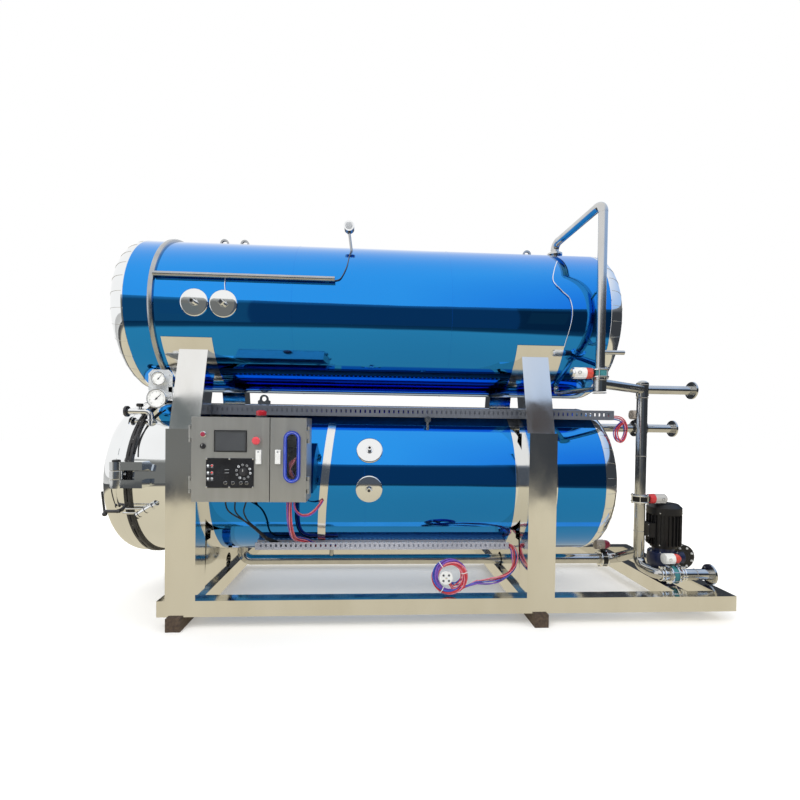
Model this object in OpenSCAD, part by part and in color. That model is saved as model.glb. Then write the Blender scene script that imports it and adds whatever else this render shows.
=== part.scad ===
// Double-layer water retort: a hot-water tank above a sterilising vessel, on a skid.
// Millimetres, +X to the right along the vessels, +Y to the back, +Z up from the floor.
// The origin is under the middle of the right pair of posts.

/* [Vessels] */
// Outer radius of both insulated jackets
jacket_r = 650; // [560:5:720]
// Thickness of the insulation with its sheet
lagging = 47; // [30:1:60]
// Thickness of the pressure wall
wall = 8; // [5:1:12]
// Clear height between the two vessels
tank_gap = 100; // [95:5:150]
// Clear height from the skid rails to the lower vessel
belly_gap = 206; // [180:2:260]
// Length of the lower cylinder from its mouth to the back end
lower_len = 3735; // [3500:5:4000]
// Length of the upper cylinder
upper_len = 3824; // [3600:4:4000]
// How far the upper cylinder reaches past the mouth of the lower one
upper_lead = 77; // [0:1:150]
// Depth of the dished ends
dish_d = 280; // [220:5:330]
// Thickness of the dished ends
dish_t = 40; // [20:1:60]
// Length of the polished neck behind the door
neck_len = 570; // [540:5:620]
// Width of the polished strap round the lower vessel
strap_w = 336; // [300:4:380]
// Width of the raised band on the upper tank
band_w = 40; // [25:1:60]
// Height of the raised band over the jacket
band_h = 20; // [10:1:30]
// Distance from the left end of the upper cylinder to the raised band
band_inset = 192; // [120:2:200]

/* [Door] */
// Width of the lock ring
ring_w = 45; // [35:1:60]
// Height of the lock ring over the jacket
ring_over = 20; // [12:1:24]
// Gap between the lock ring and the door
door_gap = 5; // [5:0.5:8]
// Thickness of the door flange
flange_t = 60; // [50:1:80]
// How far the door flange stands over the jacket
flange_over = 10; // [4:1:16]
// Depth of the door dome
dome_d = 293; // [240:1:330]
// Wall of the door dome
dome_t = 12; // [8:1:20]
// Radius of the hinge barrel
barrel_r = 45; // [36:1:48]
// Radius of the hinge pin
pin_r = 16; // [10:1:22]
// Running clearance round hinge pins
pin_gap = 0.3; // [0.2:0.05:0.5]
// Height of each hinge knuckle
knuckle_h = 62; // [50:1:80]
// Gap between hinge knuckles
knuckle_gap = 5; // [5:0.5:8]
// Gap from the hinge barrel to the lock ring
barrel_gap = 8; // [6:1:20]

/* [Frame] */
// Height and width of the skid rails
rail = 120; // [100:5:150]
// Wall of the rails and beams
rail_wall = 6; // [4:1:8]
// Distance from the pump to the right end of the skid
skid_tail = 220; // [180:5:320]
// Height of the timber blocks
timber_h = 100; // [80:5:140]
// Width of the timber blocks
timber_w = 108; // [80:4:140]
// How far the timbers reach past the rails
timber_over = 30; // [0:5:80]
// Distance from the jacket to the outer face of the posts
side_gap = 125; // [110:5:150]
// Width of the posts
post_w = 220; // [200:5:240]
// Depth of the posts
post_d = 190; // [180:2:210]
// Distance between the two pairs of posts
post_span = 2735; // [2600:5:2850]
// Distance from the vessel mouth to the first posts
post_inset = 420; // [400:5:440]
// How far the rails reach past the first posts
rail_lead = 60; // [50:5:100]
// Depth of the ledge where the upper brackets stand on the posts
ledge = 55; // [30:5:60]
// Distance from the top of the lower vessel down to the post tops
post_drop = 226; // [200:2:250]
// Lean of the upper brackets
bracket_lean = 15; // [12:0.5:17]
// Thickness of the wear plates under the upper tank
pad_t = 6; // [4:1:10]
// Width of the wear plates
pad_w = 386; // [340:4:420]
// Width of the cross beams
beam_w = 105; // [80:5:120]
// Thickness of the saddle plates under the lower vessel
saddle_t = 30; // [16:2:40]

/* [Cabinet] */
// Width of the control cabinet
cab_w = 800; // [760:10:900]
// Height of the control cabinet
cab_h = 600; // [560:10:700]
// Depth of the control cabinet with its doors
cab_d = 250; // [200:10:300]
// Height of the cabinet floor over the rails
cab_lift = 770; // [700:10:800]
// Gap between the post and the cabinet
cab_gap = 35; // [30:1:60]
// Gap between the jacket and the back of the cabinet
cab_back = 45; // [40:5:80]
// Sheet thickness of the cabinet
cab_sheet = 3; // [2:0.5:4]
// Thickness of the cabinet doors
leaf_t = 20; // [16:1:26]
// Gap round the cabinet doors
leaf_gap = 6; // [5:0.5:8]
// Width of the left cabinet door
leaf_w = 540; // [520:5:560]
// Width of the oval window with its rubber rim
win_w = 118; // [100:2:140]
// Height of the oval window with its rubber rim
win_h = 370; // [320:5:400]
// Width of the rubber rim
rim_w = 24; // [16:1:30]

/* [Pipework] */
// Radius of the riser
riser_r = 35; // [28:1:42]
// Radius of the water pipes
pipe_r = 45; // [38:1:50]
// Radius of the headers
header_r = 38; // [30:1:44]
// Wall of the open pipe ends
pipe_wall = 4; // [3:0.5:6]
// Length of the open pipe ends
pipe_open = 150; // [100:10:200]
// Thickness of the pipe flanges
pipe_flange_t = 16; // [12:1:22]
// How far pipe flanges stand over their pipe
pipe_flange_over = 40; // [30:1:50]
// Radius of the flange bolt holes
bolt_r = 7; // [5:0.5:9]
// Radius of the butterfly valve bodies over their pipe
valve_over = 24; // [18:1:30]
// Width of the butterfly valve bodies
valve_w = 52; // [44:2:60]
// Radius of the valve actuators
act_r = 45; // [38:1:50]
// Length of the valve actuators
act_len = 130; // [110:5:150]
// Radius of the pump motor
motor_r = 145; // [120:5:150]
// Height of the pump motor
motor_h = 400; // [360:5:460]
// Radius of the pump casing
pump_r = 130; // [110:5:145]
// Height of the pump casing
pump_h = 240; // [200:5:260]

/* [Fittings] */
// Radius of the round cover plates
cover_r = 104; // [90:2:115]
// Thickness of the cover plates
cover_t = 12; // [8:1:16]
// Height of the cover plates over the jacket
cover_lift = 12; // [8:1:20]
// Radius of the conduit along the upper tank
conduit_r = 20; // [14:1:26]
// Width of the cable trays
tray_w = 80; // [60:2:100]
// Height of the upper cable tray
tray_h = 80; // [60:2:90]
// Height of the lower cable tray
low_tray_h = 60; // [50:2:70]
// Wall of the cable trays
tray_wall = 3; // [2:0.5:4]
// Distance between the slots of the trays
slot_pitch = 40; // [30:5:60]
// Width of the slots of the trays
slot_w = 14; // [8:1:18]
// Width of the curved duct strip
strip_w = 62; // [50:2:80]
// Height of the curved duct strip
strip_t = 14; // [10:1:24]
// Radius of the large dial gauge
gauge_r = 74; // [60:2:80]
// Radius of the small dial gauge
small_gauge_r = 54; // [40:2:60]
// Height of the lifting lugs
lug_h = 85; // [60:5:90]
// Radius of the lug holes
lug_hole = 22; // [16:1:26]
// Radius of the tied tube coil
coil_r = 150; // [120:5:170]
// Radius of the tube bundles
bundle_r = 17; // [12:1:22]

/* [Hidden] */
$fn = 96;

mouth_x = -post_inset - post_span;
rail_top = timber_h + rail;
low_z = rail_top + belly_gap + jacket_r;
up_z = low_z + 2 * jacket_r + tank_gap;
half_w = jacket_r + side_gap;
inner_r = jacket_r - lagging - wall;
back_x = mouth_x + lower_len;
up_left = mouth_x - upper_lead;
up_right = up_left + upper_len;
post_x1 = mouth_x + post_inset;
post_x2 = post_x1 + post_span;
skid_left = post_x1 - post_w / 2 - rail_lead;
neck_end = mouth_x + neck_len;
post_top = low_z + jacket_r - post_drop;
strap_left = post_x2 - strap_w / 2;
strap_right = post_x2 + strap_w / 2;
main_len = strap_left - neck_end;

ring_x = mouth_x - ring_w;
ring_r = jacket_r + ring_over;
flange_x = ring_x - door_gap;
flange_r = jacket_r + flange_over;
dome_x = flange_x - flange_t;
hinge_x = ring_x - barrel_r / 2;
hinge_y = -(ring_r + barrel_gap + barrel_r);
hinge_z = low_z + 75;

cab_x = post_x1 + post_w / 2 + cab_gap;
cab_y = -(jacket_r + cab_back);
cab_z = rail_top + cab_lift;
box_front = cab_y - cab_d + leaf_t + leaf_gap;
leaf_front = cab_y - cab_d;
leaf_pin_r = 5;
leaf_barrel_r = 9;
leaf_pin_y = leaf_front + leaf_t - leaf_barrel_r + 2;
leaf_pin_off = leaf_barrel_r + 5;
right_leaf_w = cab_w - leaf_w - leaf_gap;

riser_x = up_right - 135;
riser_y = -(jacket_r + riser_r + 45);
riser_top = up_z + jacket_r + 185;
tee_z = up_z - jacket_r + 74;
tee_top = tee_z + header_r + 5;
riser_valve_z = tee_top + valve_w / 2 + 8;
return_x = (post_x2 + post_w / 2 + riser_x) / 2;
return_y = -0.46 * jacket_r;
down_x = max(back_x, up_right - 12) + dish_d + 245;
down_y = -0.385 * jacket_r;
foot_z = rail_top + pipe_r + pipe_flange_over + 5;
foot_y = -0.8 * jacket_r;
steam_z = low_z + 0.73 * jacket_r;
drain_z = rail_top + pipe_r + 27;
drain_valve_x = back_x + dish_d + 40;
pump_x = down_x + motor_r + pipe_r + 80;
pump_y = down_y + 60;
skid_right = pump_x + skid_tail;
skid_len = skid_right - skid_left;
pipe_end = skid_right - 20;
steam_valve_x = down_x + 125;
down_valve_z = rail_top + pump_h + motor_h + act_r + 8;
vent_x = up_right - 265;
vent_y = -0.17 * jacket_r;
bend_r = 1.5 * pipe_r + 20;
tray_z = low_z + sqrt(1 - 0.555 * 0.555) * jacket_r + 0.3;
tray_y = -0.555 * jacket_r - tray_w;
low_tray_z = low_z - 0.755 * jacket_r - low_tray_h;
low_tray_y = -sqrt(1 - 0.755 * 0.755) * jacket_r - tray_w - 0.3;
low_tray_x = neck_end + 0.134 * main_len;

// A straight round bar from a to b
module rod(a, b, r) {
  d = b - a;
  translate(a)
    rotate([0, acos(d[2] / norm(d)), atan2(d[1], d[0])])
      cylinder(h = norm(d), r = r);
}

// A pipe run through corner points, with butt-welded elbows of bend radius b
module run(pts, r, b) {
  n = len(pts);
  function unit(v) = v / norm(v);
  function way(i) = unit(pts[i + 1] - pts[i]);
  function cut(i) = i == 0 || i == n - 1 ? 0 : b * tan(acos(way(i - 1) * way(i)) / 2);
  function seat(i) = cut(i) == 0 ? 0 : cut(i) - 2;
  for (i = [0 : n - 2]) rod(pts[i] + seat(i) * way(i), pts[i + 1] - seat(i + 1) * way(i), r);
  for (i = [1 : n - 2]) {
    u = way(i - 1);
    m = unit(way(i) - (way(i) * u) * u);
    c = pts[i] - cut(i) * u + b * m;
    k = cross(-m, u);
    multmatrix([[-m[0], u[0], k[0], c[0]], [-m[1], u[1], k[1], c[1]], [-m[2], u[2], k[2], c[2]]])
      rotate_extrude(angle = acos(u * way(i))) translate([b, 0]) circle(r = r + 1);
  }
}

// A tube along +X
module tube_x(x0, x1, r_in, r_out, z) {
  translate([x0, 0, z])
    rotate([0, 90, 0])
      difference() {
        cylinder(h = x1 - x0, r = r_out);
        translate([0, 0, -1]) cylinder(h = x1 - x0 + 2, r = r_in);
      }
}

// Radius of the knuckle that joins a crown of radius c to a cylinder of radius r at depth d
function knuckle(r, c, d) = (c * c - r * r - (c - d) * (c - d)) / (2 * (c - r));

// Half outline of a filled dished end: crown arc and knuckle arc, thinner by t all over
module dish_area(r, d, t) {
  c = 1.75 * r;
  q = knuckle(r, c, d);
  v = [r - q, c - d] / norm([r - q, c - d]);
  intersection() {
    translate([0, d - c]) circle(r = c - t);
    polygon([[0, 0], [r - q, 0], [r - q, 0] + 2 * q * v, [0, 2 * d]]);
  }
  intersection() {
    translate([r - q, 0]) circle(r = q - t);
    polygon([[r - q, 0], [r + q, 0], [r + q, 2 * q], [r - q, 0] + 2 * q * v]);
  }
}

// A dished end with an even wall, its pole along +Z
module dished(r, d, t) {
  rotate_extrude()
    difference() {
      dish_area(r, d, 0);
      dish_area(r, d, t);
    }
}

// Children trimmed to the outside of both jackets
module on_jackets() {
  difference() {
    children();
    translate([mouth_x, 0, low_z]) rotate([0, 90, 0]) cylinder(h = lower_len, r = jacket_r + 0.1, $fn = 360);
    translate([up_left, 0, up_z]) rotate([0, 90, 0]) cylinder(h = upper_len, r = jacket_r + 0.1, $fn = 360);
  }
}

// A hollow square bar along +X, capped at both ends
module hollow_bar(l, w, h, t) {
  difference() {
    cube([l, w, h]);
    translate([t, t, t]) cube([l - 2 * t, w - 2 * t, h - 2 * t]);
  }
}

// A closed hollow bar along +Y
module beam(x, y0, y1, w) {
  translate([x + w, y0, timber_h])
    rotate([0, 0, 90])
      hollow_bar(y1 - y0, w, rail, rail_wall);
}

module timber(x) {
  color("peru")
    translate([x - timber_w / 2, -half_w - timber_over, 0])
      cube([timber_w, 2 * (half_w + timber_over), timber_h]);
}

module timber_left() {
  timber(post_x1 - 40);
}

module timber_right() {
  timber(post_x2);
}

module front_rail() {
  color("silver")
    translate([skid_left, -half_w, timber_h])
      hollow_bar(skid_len, rail, rail, rail_wall);
}

module rear_rail() {
  color("silver")
    translate([skid_left, half_w - rail, timber_h])
      hollow_bar(skid_len, rail, rail, rail_wall);
}

// A saddle plate that carries the lower vessel between two posts
module saddle(x) {
  low = half_w - post_d;
  difference() {
    translate([x - saddle_t / 2, 0, rail_top])
      rotate([90, 0, 90])
        linear_extrude(saddle_t)
          polygon([[-low, 0], [low, 0], [low - 60, belly_gap + jacket_r * 0.28],
            [60 - low, belly_gap + jacket_r * 0.28]]);
    translate([x - saddle_t, 0, low_z])
      rotate([0, 90, 0])
        cylinder(h = 2 * saddle_t, r = jacket_r);
    translate([x - saddle_t, 0, drain_z])
      rotate([0, 90, 0])
        cylinder(h = 2 * saddle_t, r = pipe_r + 20);
  }
}

module cross_pair(x) {
  inside = half_w - rail;
  beam(x - post_w / 2 - rail_lead / 2, -inside, inside, beam_w);
  beam(x + post_w / 2 + rail_lead / 2 - beam_w, -inside, inside, beam_w);
}

module beams_left() {
  color("silver") {
    cross_pair(post_x1);
    saddle(post_x1 - post_w / 2 - rail_lead / 2 + beam_w / 2);
    saddle(post_x1 + post_w / 2 + rail_lead / 2 - beam_w / 2);
  }
}

module beams_right() {
  color("silver") {
    cross_pair(post_x2);
    saddle(post_x2 - post_w / 2 - rail_lead / 2 + beam_w / 2);
    saddle(post_x2 + post_w / 2 + rail_lead / 2 - beam_w / 2);
  }
}

// End beam and the plate that the pump stands on
module beam_end() {
  inside = half_w - rail;
  plate_x = pump_x - pump_r - 80;
  color("silver") {
    beam(skid_right - beam_w, -inside, inside, beam_w);
    beam(plate_x, -inside, inside, beam_w);
    translate([plate_x, pump_y - pump_r - 60, rail_top - 12])
      cube([skid_right - plate_x, 2 * pump_r + 120, 12]);
  }
}

// One folded post with the leaning bracket that carries the upper tank
module post(x) {
  top = up_z - jacket_r * 0.4;
  lean = (top - post_top) * tan(bracket_lean);
  face = -half_w + ledge;
  tuck = 5;
  translate([x - post_w / 2, 0, 0])
    difference() {
      union() {
        translate([0, -half_w, rail_top]) cube([post_w, post_d, post_top - rail_top]);
        rotate([90, 0, 90])
          linear_extrude(post_w)
            polygon([[face, post_top - tuck], [face + post_d, post_top - tuck],
              [face + post_d + lean, top], [face + lean, top]]);
      }
      translate([-1, 0, low_z]) rotate([0, 90, 0]) cylinder(h = post_w + 2, r = jacket_r);
      translate([-1, 0, up_z]) rotate([0, 90, 0]) cylinder(h = post_w + 2, r = jacket_r + pad_t);
    }
}

module post_front_left() {
  color("gainsboro") post(post_x1);
}

module post_front_right() {
  color("gainsboro") post(post_x2);
}

module post_rear_left() {
  color("gainsboro") mirror([0, 1, 0]) post(post_x1);
}

module post_rear_right() {
  color("gainsboro") mirror([0, 1, 0]) post(post_x2);
}

// A curved plate on the lower front quarter of the upper tank
module pad(x) {
  translate([x - pad_w / 2, 0, up_z])
    rotate([0, 90, 0])
      rotate([0, 0, -66])
        rotate_extrude(angle = 44)
          translate([jacket_r + 0.2, 0]) square([pad_t - 0.2, pad_w]);
}

module saddle_pads() {
  color("gainsboro") {
    for (x = [post_x1 - 38, post_x2 + 30]) {
      pad(x);
      mirror([0, 1, 0]) pad(x);
    }
  }
}

module chamber_shell() {
  color("gainsboro") tube_x(mouth_x, back_x, inner_r, inner_r + wall, low_z);
}

module neck_jacket() {
  color("gainsboro") tube_x(mouth_x, neck_end, inner_r + wall, jacket_r, low_z);
}

// A lifting lug with its hole, standing at the origin across X
module lug() {
  difference() {
    union() {
      translate([-55, -10, -20]) cube([110, 20, lug_h - 18]);
      translate([0, 10, lug_h - 38]) rotate([90, 0, 0]) cylinder(h = 20, r = 38);
    }
    translate([0, 11, lug_h - 38]) rotate([90, 0, 0]) cylinder(h = 22, r = lug_hole);
    for (s = [-1, 1])
      translate([s * 55, 11, lug_h - 38]) rotate([90, 0, 0]) cylinder(h = 22, r = 17);
  }
}

module main_jacket() {
  color("dodgerblue") tube_x(neck_end, strap_left, inner_r + wall, jacket_r, low_z);
}

module strap_jacket() {
  color("gainsboro") tube_x(strap_left, strap_right, inner_r + wall, jacket_r, low_z);
}

module end_jacket() {
  color("dodgerblue") tube_x(strap_right, back_x, inner_r + wall, jacket_r, low_z);
}

module lower_head() {
  color("gainsboro")
    translate([back_x, 0, low_z]) rotate([0, 90, 0]) dished(jacket_r, dish_d, dish_t);
}

// Lock ring with a groove round its outside
module lock_ring() {
  color("dimgray")
    difference() {
      tube_x(ring_x, mouth_x, inner_r, ring_r, low_z);
      tube_x(ring_x + ring_w * 0.4, ring_x + ring_w * 0.6, ring_r - 8, ring_r + 1, low_z);
    }
}

// Domed door with its flange and the moving hinge knuckle
module door() {
  color("gainsboro") {
    tube_x(dome_x, flange_x, inner_r, flange_r, low_z);
    translate([dome_x, 0, low_z])
      rotate([0, -90, 0]) dished(flange_r, dome_d, dome_t);
    difference() {
      union() {
        translate([hinge_x, hinge_y, hinge_z - knuckle_h / 2]) cylinder(h = knuckle_h, r = barrel_r);
        translate([dome_x + 5, hinge_y, hinge_z - knuckle_h / 2])
          cube([flange_t - 10, -hinge_y - flange_r + 25, knuckle_h]);
      }
      translate([hinge_x, hinge_y, hinge_z - knuckle_h])
        cylinder(h = 2 * knuckle_h, r = pin_r + pin_gap);
    }
  }
}

// Hand lever on the door flange
module door_lever() {
  drop = 0.315 * jacket_r;
  lever_z = low_z - drop;
  lever_y = -sqrt(flange_r * flange_r - drop * drop);
  x = dome_x + flange_t / 2;
  color("gray") {
    difference() {
      rod([x, lever_y + 20, lever_z], [x, lever_y - 62, lever_z], 14);
      translate([dome_x, 0, low_z]) rotate([0, 90, 0]) cylinder(h = flange_t, r = flange_r);
    }
    rod([x + 20, lever_y - 62, lever_z], [x - 90, lever_y - 62, lever_z], 12);
    rod([x - 90, lever_y - 62, lever_z - 20], [x - 110, lever_y - 62, lever_z + 150], 8);
    translate([x - 90, lever_y - 62, lever_z - 20]) sphere(r = 18);
  }
}

// Fixed hinge knuckles with their pin, and the interlock cylinder on the neck
module door_hardware() {
  up = hinge_z + knuckle_h / 2 + knuckle_gap;
  down = hinge_z - knuckle_h / 2 - knuckle_gap - knuckle_h;
  drop = 0.315 * jacket_r;
  lock_z = low_z - drop;
  lock_y = -sqrt(jacket_r * jacket_r - drop * drop);
  color("gainsboro")
    on_jackets() {
      translate([hinge_x, hinge_y, down]) cylinder(h = up - down + knuckle_h, r = pin_r);
      translate([hinge_x, hinge_y, up + knuckle_h]) cylinder(h = 14, r = barrel_r * 0.6);
      for (z = [down, up]) {
        translate([hinge_x, hinge_y, z]) cylinder(h = knuckle_h, r = barrel_r);
        translate([hinge_x, hinge_y - 20, z]) cube([150 + barrel_r, 40, knuckle_h]);
        translate([mouth_x + 20, hinge_y - 20, z]) cube([100, -hinge_y - jacket_r + 60, knuckle_h]);
      }
      rod([mouth_x + 45, lock_y - 42, lock_z - 40], [mouth_x + 165, lock_y - 42, lock_z + 35], 24);
      rod([mouth_x + 100, lock_y + 20, lock_z - 5], [mouth_x + 100, lock_y - 42, lock_z - 5], 16);
      rod([mouth_x - 50, lock_y - 48, lock_z - 18], [mouth_x + 80, lock_y - 48, lock_z - 18], 9);
      rod([mouth_x - 30, lock_y - 52, lock_z + 16], [mouth_x + 110, lock_y - 52, lock_z + 16], 6);
    }
}

// Vent elbow with a flange, on top of the neck by the door
module vent_elbow() {
  y = -0.692 * jacket_r;
  z0 = low_z + sqrt(jacket_r * jacket_r - y * y);
  color("gray")
    on_jackets() {
      run([[mouth_x + 45, y, z0 - 30], [mouth_x + 45, y, z0 + 85], [mouth_x - 130, y, z0 + 85]], 24, 40);
      rod([mouth_x - 130, y, z0 + 85], [mouth_x - 150, y, z0 + 85], 44);
      rod([mouth_x - 40, y, z0 + 85], [mouth_x - 40, y, z0 + 150], 14);
    }
}

// A dial gauge facing the front, its back at the origin
module gauge(r) {
  rotate([90, 0, 0]) {
    cylinder(h = 30, r = r * 0.92);
    translate([0, 0, 26]) cylinder(h = 16, r = r);
  }
}

// Plate with two dial gauges beside the left bracket
module gauge_plate() {
  x1 = post_x1 - post_w / 2;
  x0 = x1 - 205;
  z0 = post_top + 220;
  y = -half_w + ledge + (z0 + 80 - post_top) * tan(bracket_lean) + 30;
  color("gainsboro") {
    translate([x0, y + 8, z0])
      rotate([90, 0, 0])
        linear_extrude(8)
          polygon([[0, 0], [180, 0], [180, 200], [150, 232], [30, 232], [0, 200]]);
    translate([x0 + 150, y, z0 + 60]) cube([x1 - x0 - 150, 60, 40]);
    translate([x0 + 92, y, z0 + 160]) gauge(small_gauge_r);
    translate([x0 + 78, y, z0 + 8]) gauge(gauge_r);
  }
}

module upper_shell() {
  color("dodgerblue") tube_x(up_left, up_right, inner_r + wall, jacket_r, up_z);
}

// Lugs on top of both vessels
module lifting_lugs() {
  color("gray")
    on_jackets() {
      for (k = [0.143, 0.19, 0.872])
        translate([up_left + k * upper_len, 0, up_z + jacket_r]) lug();
      translate([neck_end + 0.109 * main_len, 0, low_z + jacket_r]) lug();
    }
}

module upper_head_left() {
  color("gainsboro")
    translate([up_left, 0, up_z]) rotate([0, -90, 0]) dished(jacket_r, dish_d, dish_t);
}

module upper_head_right() {
  color("gainsboro")
    translate([up_right, 0, up_z]) rotate([0, 90, 0]) dished(jacket_r, dish_d, dish_t);
}

module band_ring() {
  x = up_left + band_inset;
  color("silver") tube_x(x, x + band_w, jacket_r, jacket_r + band_h, up_z);
}

// A round cover with its nozzle, on a jacket at the given height angle
module cover(x, z, angle) {
  translate([x, 0, z])
    rotate([90 - angle, 0, 0]) {
      translate([0, 0, jacket_r - 20]) cylinder(h = 20 + cover_lift, r = cover_r * 0.62);
      translate([0, 0, jacket_r + cover_lift]) cylinder(h = cover_t, r = cover_r);
      translate([0, 0, jacket_r + cover_lift]) cylinder(h = cover_t + 14, r = 44);
      translate([0, 0, jacket_r + cover_lift]) cylinder(h = cover_t + 50, r = 26);
    }
}

module cover_plates() {
  color("dimgray")
    on_jackets() {
      cover(up_left + 0.141 * upper_len, up_z, -1);
      cover(up_left + 0.198 * upper_len, up_z, -1.4);
      cover(neck_end + 0.513 * main_len, low_z, 24.4);
      cover(neck_end + 0.513 * main_len, low_z, -2.8);
    }
}

// Conduit with three clips, and the two probes
module conduit() {
  a = 17.2;
  r = jacket_r + conduit_r + 6;
  x0 = up_left + band_inset + band_w;
  x1 = x0 + 0.358 * upper_len;
  probe_x = x1 + 115;
  py = -0.594 * jacket_r;
  pz = up_z + jacket_r * sqrt(1 - 0.594 * 0.594);
  low_x = neck_end + 0.71 * main_len;
  ly = -0.725 * jacket_r;
  lz = low_z + jacket_r * sqrt(1 - 0.725 * 0.725);
  color("silver")
    on_jackets() {
      rod([x0, -r * cos(a), up_z + r * sin(a)], [x1, -r * cos(a), up_z + r * sin(a)], conduit_r);
      for (x = [x0 + 60, (x0 + x1) / 2, x1 - 60])
        translate([x, 0, up_z])
          rotate([90 - a, 0, 0])
            translate([-15, -8, jacket_r - 10]) cube([30, 16, conduit_r + 16]);
      rod([probe_x, py, pz - 20], [probe_x - 25, py, pz + 160], 11);
      translate([probe_x - 25, py + 30, pz + 195]) rotate([90, 0, 0]) cylinder(h = 60, r = 43);
      rod([low_x, ly, lz - 20], [low_x, ly, lz + 60], 12);
      translate([low_x, ly + 20, lz + 75]) rotate([90, 0, 0]) cylinder(h = 40, r = 26);
    }
}

// A slotted side wall of a tray, along +X
module slotted(l, h) {
  n = floor((l - slot_pitch) / slot_pitch);
  translate([0, tray_wall, 0])
    rotate([90, 0, 0])
      linear_extrude(tray_wall)
        difference() {
          square([l, h]);
          for (i = [1 : n])
            translate([i * slot_pitch, h * 0.38]) square([slot_w, h * 0.36]);
        }
}

// An open slotted tray along +X
module tray(l, h) {
  cube([l, tray_w, tray_wall]);
  slotted(l, h);
  translate([0, tray_w - tray_wall, 0]) slotted(l, h);
}

module upper_tray() {
  color("lightgray")
    translate([mouth_x + 400, tray_y, tray_z]) tray(lower_len - 240, tray_h);
}

module lower_tray() {
  color("lightgray")
    translate([low_tray_x, low_tray_y, low_tray_z]) tray(strap_left - 10 - low_tray_x, low_tray_h);
}

// Curved strip that carries tubes round the front of the lower vessel, between the trays
module duct_strip() {
  color("lightgray")
    on_jackets()
      translate([neck_end + 0.369 * main_len, 0, low_z])
        rotate([0, 4.8, 0])
          translate([-strip_w / 2, 0, 0])
            rotate([0, 90, 0])
              rotate([0, 0, 223])
                rotate_extrude(angle = 94, $fn = 360)
                  translate([jacket_r - 6, 0]) square([strip_t + 6, strip_w]);
}

// Fixed half of a cabinet hinge at a corner of the box, on the side given by s
module leaf_hinge(x, s, z) {
  translate([x, leaf_pin_y, z - 60]) cylinder(h = 120, r = leaf_pin_r);
  for (k = [-60, 35])
    translate([x, leaf_pin_y, z + k]) {
      cylinder(h = 25, r = leaf_barrel_r);
      translate([s > 0 ? -3 : -5, 0, 0]) cube([8, box_front - leaf_pin_y + 40, 25]);
      translate([s > 0 ? -3 : -leaf_pin_off - 1, box_front - leaf_pin_y, 0])
        cube([leaf_pin_off + 4, 40, 25]);
    }
}

// Hollow cabinet with its hinge pins and the two arms to the post
module cabinet_box() {
  depth = cab_y - box_front;
  color("silver") {
    difference() {
      translate([cab_x, box_front, cab_z]) cube([cab_w, depth, cab_h]);
      translate([cab_x + cab_sheet, box_front - 1, cab_z + cab_sheet])
        cube([cab_w - 2 * cab_sheet, depth - cab_sheet + 1, cab_h - 2 * cab_sheet]);
    }
    for (z = [cab_z + 120, cab_z + cab_h - 120]) {
      leaf_hinge(cab_x - leaf_pin_off, 1, z);
      leaf_hinge(cab_x + cab_w + leaf_pin_off, -1, z);
    }
    for (z = [cab_z + 60, cab_z + cab_h - 110])
      translate([cab_x - cab_gap, cab_y - 60, z]) cube([cab_gap + 1, 60, 50]);
  }
}

// Moving barrels of a cabinet door at the hinge line x, joined towards side s
module leaf_barrels(x, s) {
  for (z = [cab_z + 120, cab_z + cab_h - 120])
    difference() {
      union() {
        translate([x, leaf_pin_y, z - 30]) cylinder(h = 60, r = leaf_barrel_r);
        translate([s > 0 ? x : x - leaf_pin_off - 4, leaf_pin_y - leaf_barrel_r, z - 30])
          cube([leaf_pin_off + 4, leaf_barrel_r, 60]);
      }
      translate([x, leaf_pin_y, z - 31]) cylinder(h = 62, r = leaf_pin_r + pin_gap);
    }
}

// A folded door panel, open towards the cabinet
module leaf(x, w) {
  difference() {
    translate([x, leaf_front, cab_z]) cube([w, leaf_t, cab_h]);
    translate([x + cab_sheet + 12, leaf_front + cab_sheet, cab_z + cab_sheet + 12])
      cube([w - 2 * cab_sheet - 24, leaf_t, cab_h - 2 * cab_sheet - 24]);
  }
}

module cabinet_door_left() {
  color("silver") {
    leaf(cab_x, leaf_w);
    leaf_barrels(cab_x - leaf_pin_off, 1);
  }
}

// Upright oval
module oval(w, h) {
  hull() {
    translate([0, (h - w) / 2]) circle(r = w / 2);
    translate([0, (w - h) / 2]) circle(r = w / 2);
  }
}

module cabinet_door_right() {
  x = cab_x + leaf_w + leaf_gap;
  color("silver") {
    difference() {
      leaf(x, right_leaf_w);
      translate([x + right_leaf_w - 101, leaf_front + leaf_t + 1, cab_z + cab_h - 277])
        rotate([90, 0, 0])
          linear_extrude(leaf_t + 2) oval(win_w - 2 * rim_w + 10, win_h - 2 * rim_w + 10);
    }
    leaf_barrels(cab_x + cab_w + leaf_pin_off, -1);
    translate([x + 38, leaf_front - 18, cab_z + cab_h - 326]) cube([35, 20, 98]);
  }
}

// Rubber rim of the oval window with its pane
module window_rim() {
  color("mediumblue")
    translate([cab_x + cab_w - 101, leaf_front, cab_z + cab_h - 277])
      rotate([90, 0, 0]) {
        linear_extrude(17)
          difference() {
            oval(win_w, win_h);
            oval(win_w - 2 * rim_w, win_h - 2 * rim_w);
          }
        linear_extrude(5) oval(win_w - rim_w, win_h - rim_w);
      }
}

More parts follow.
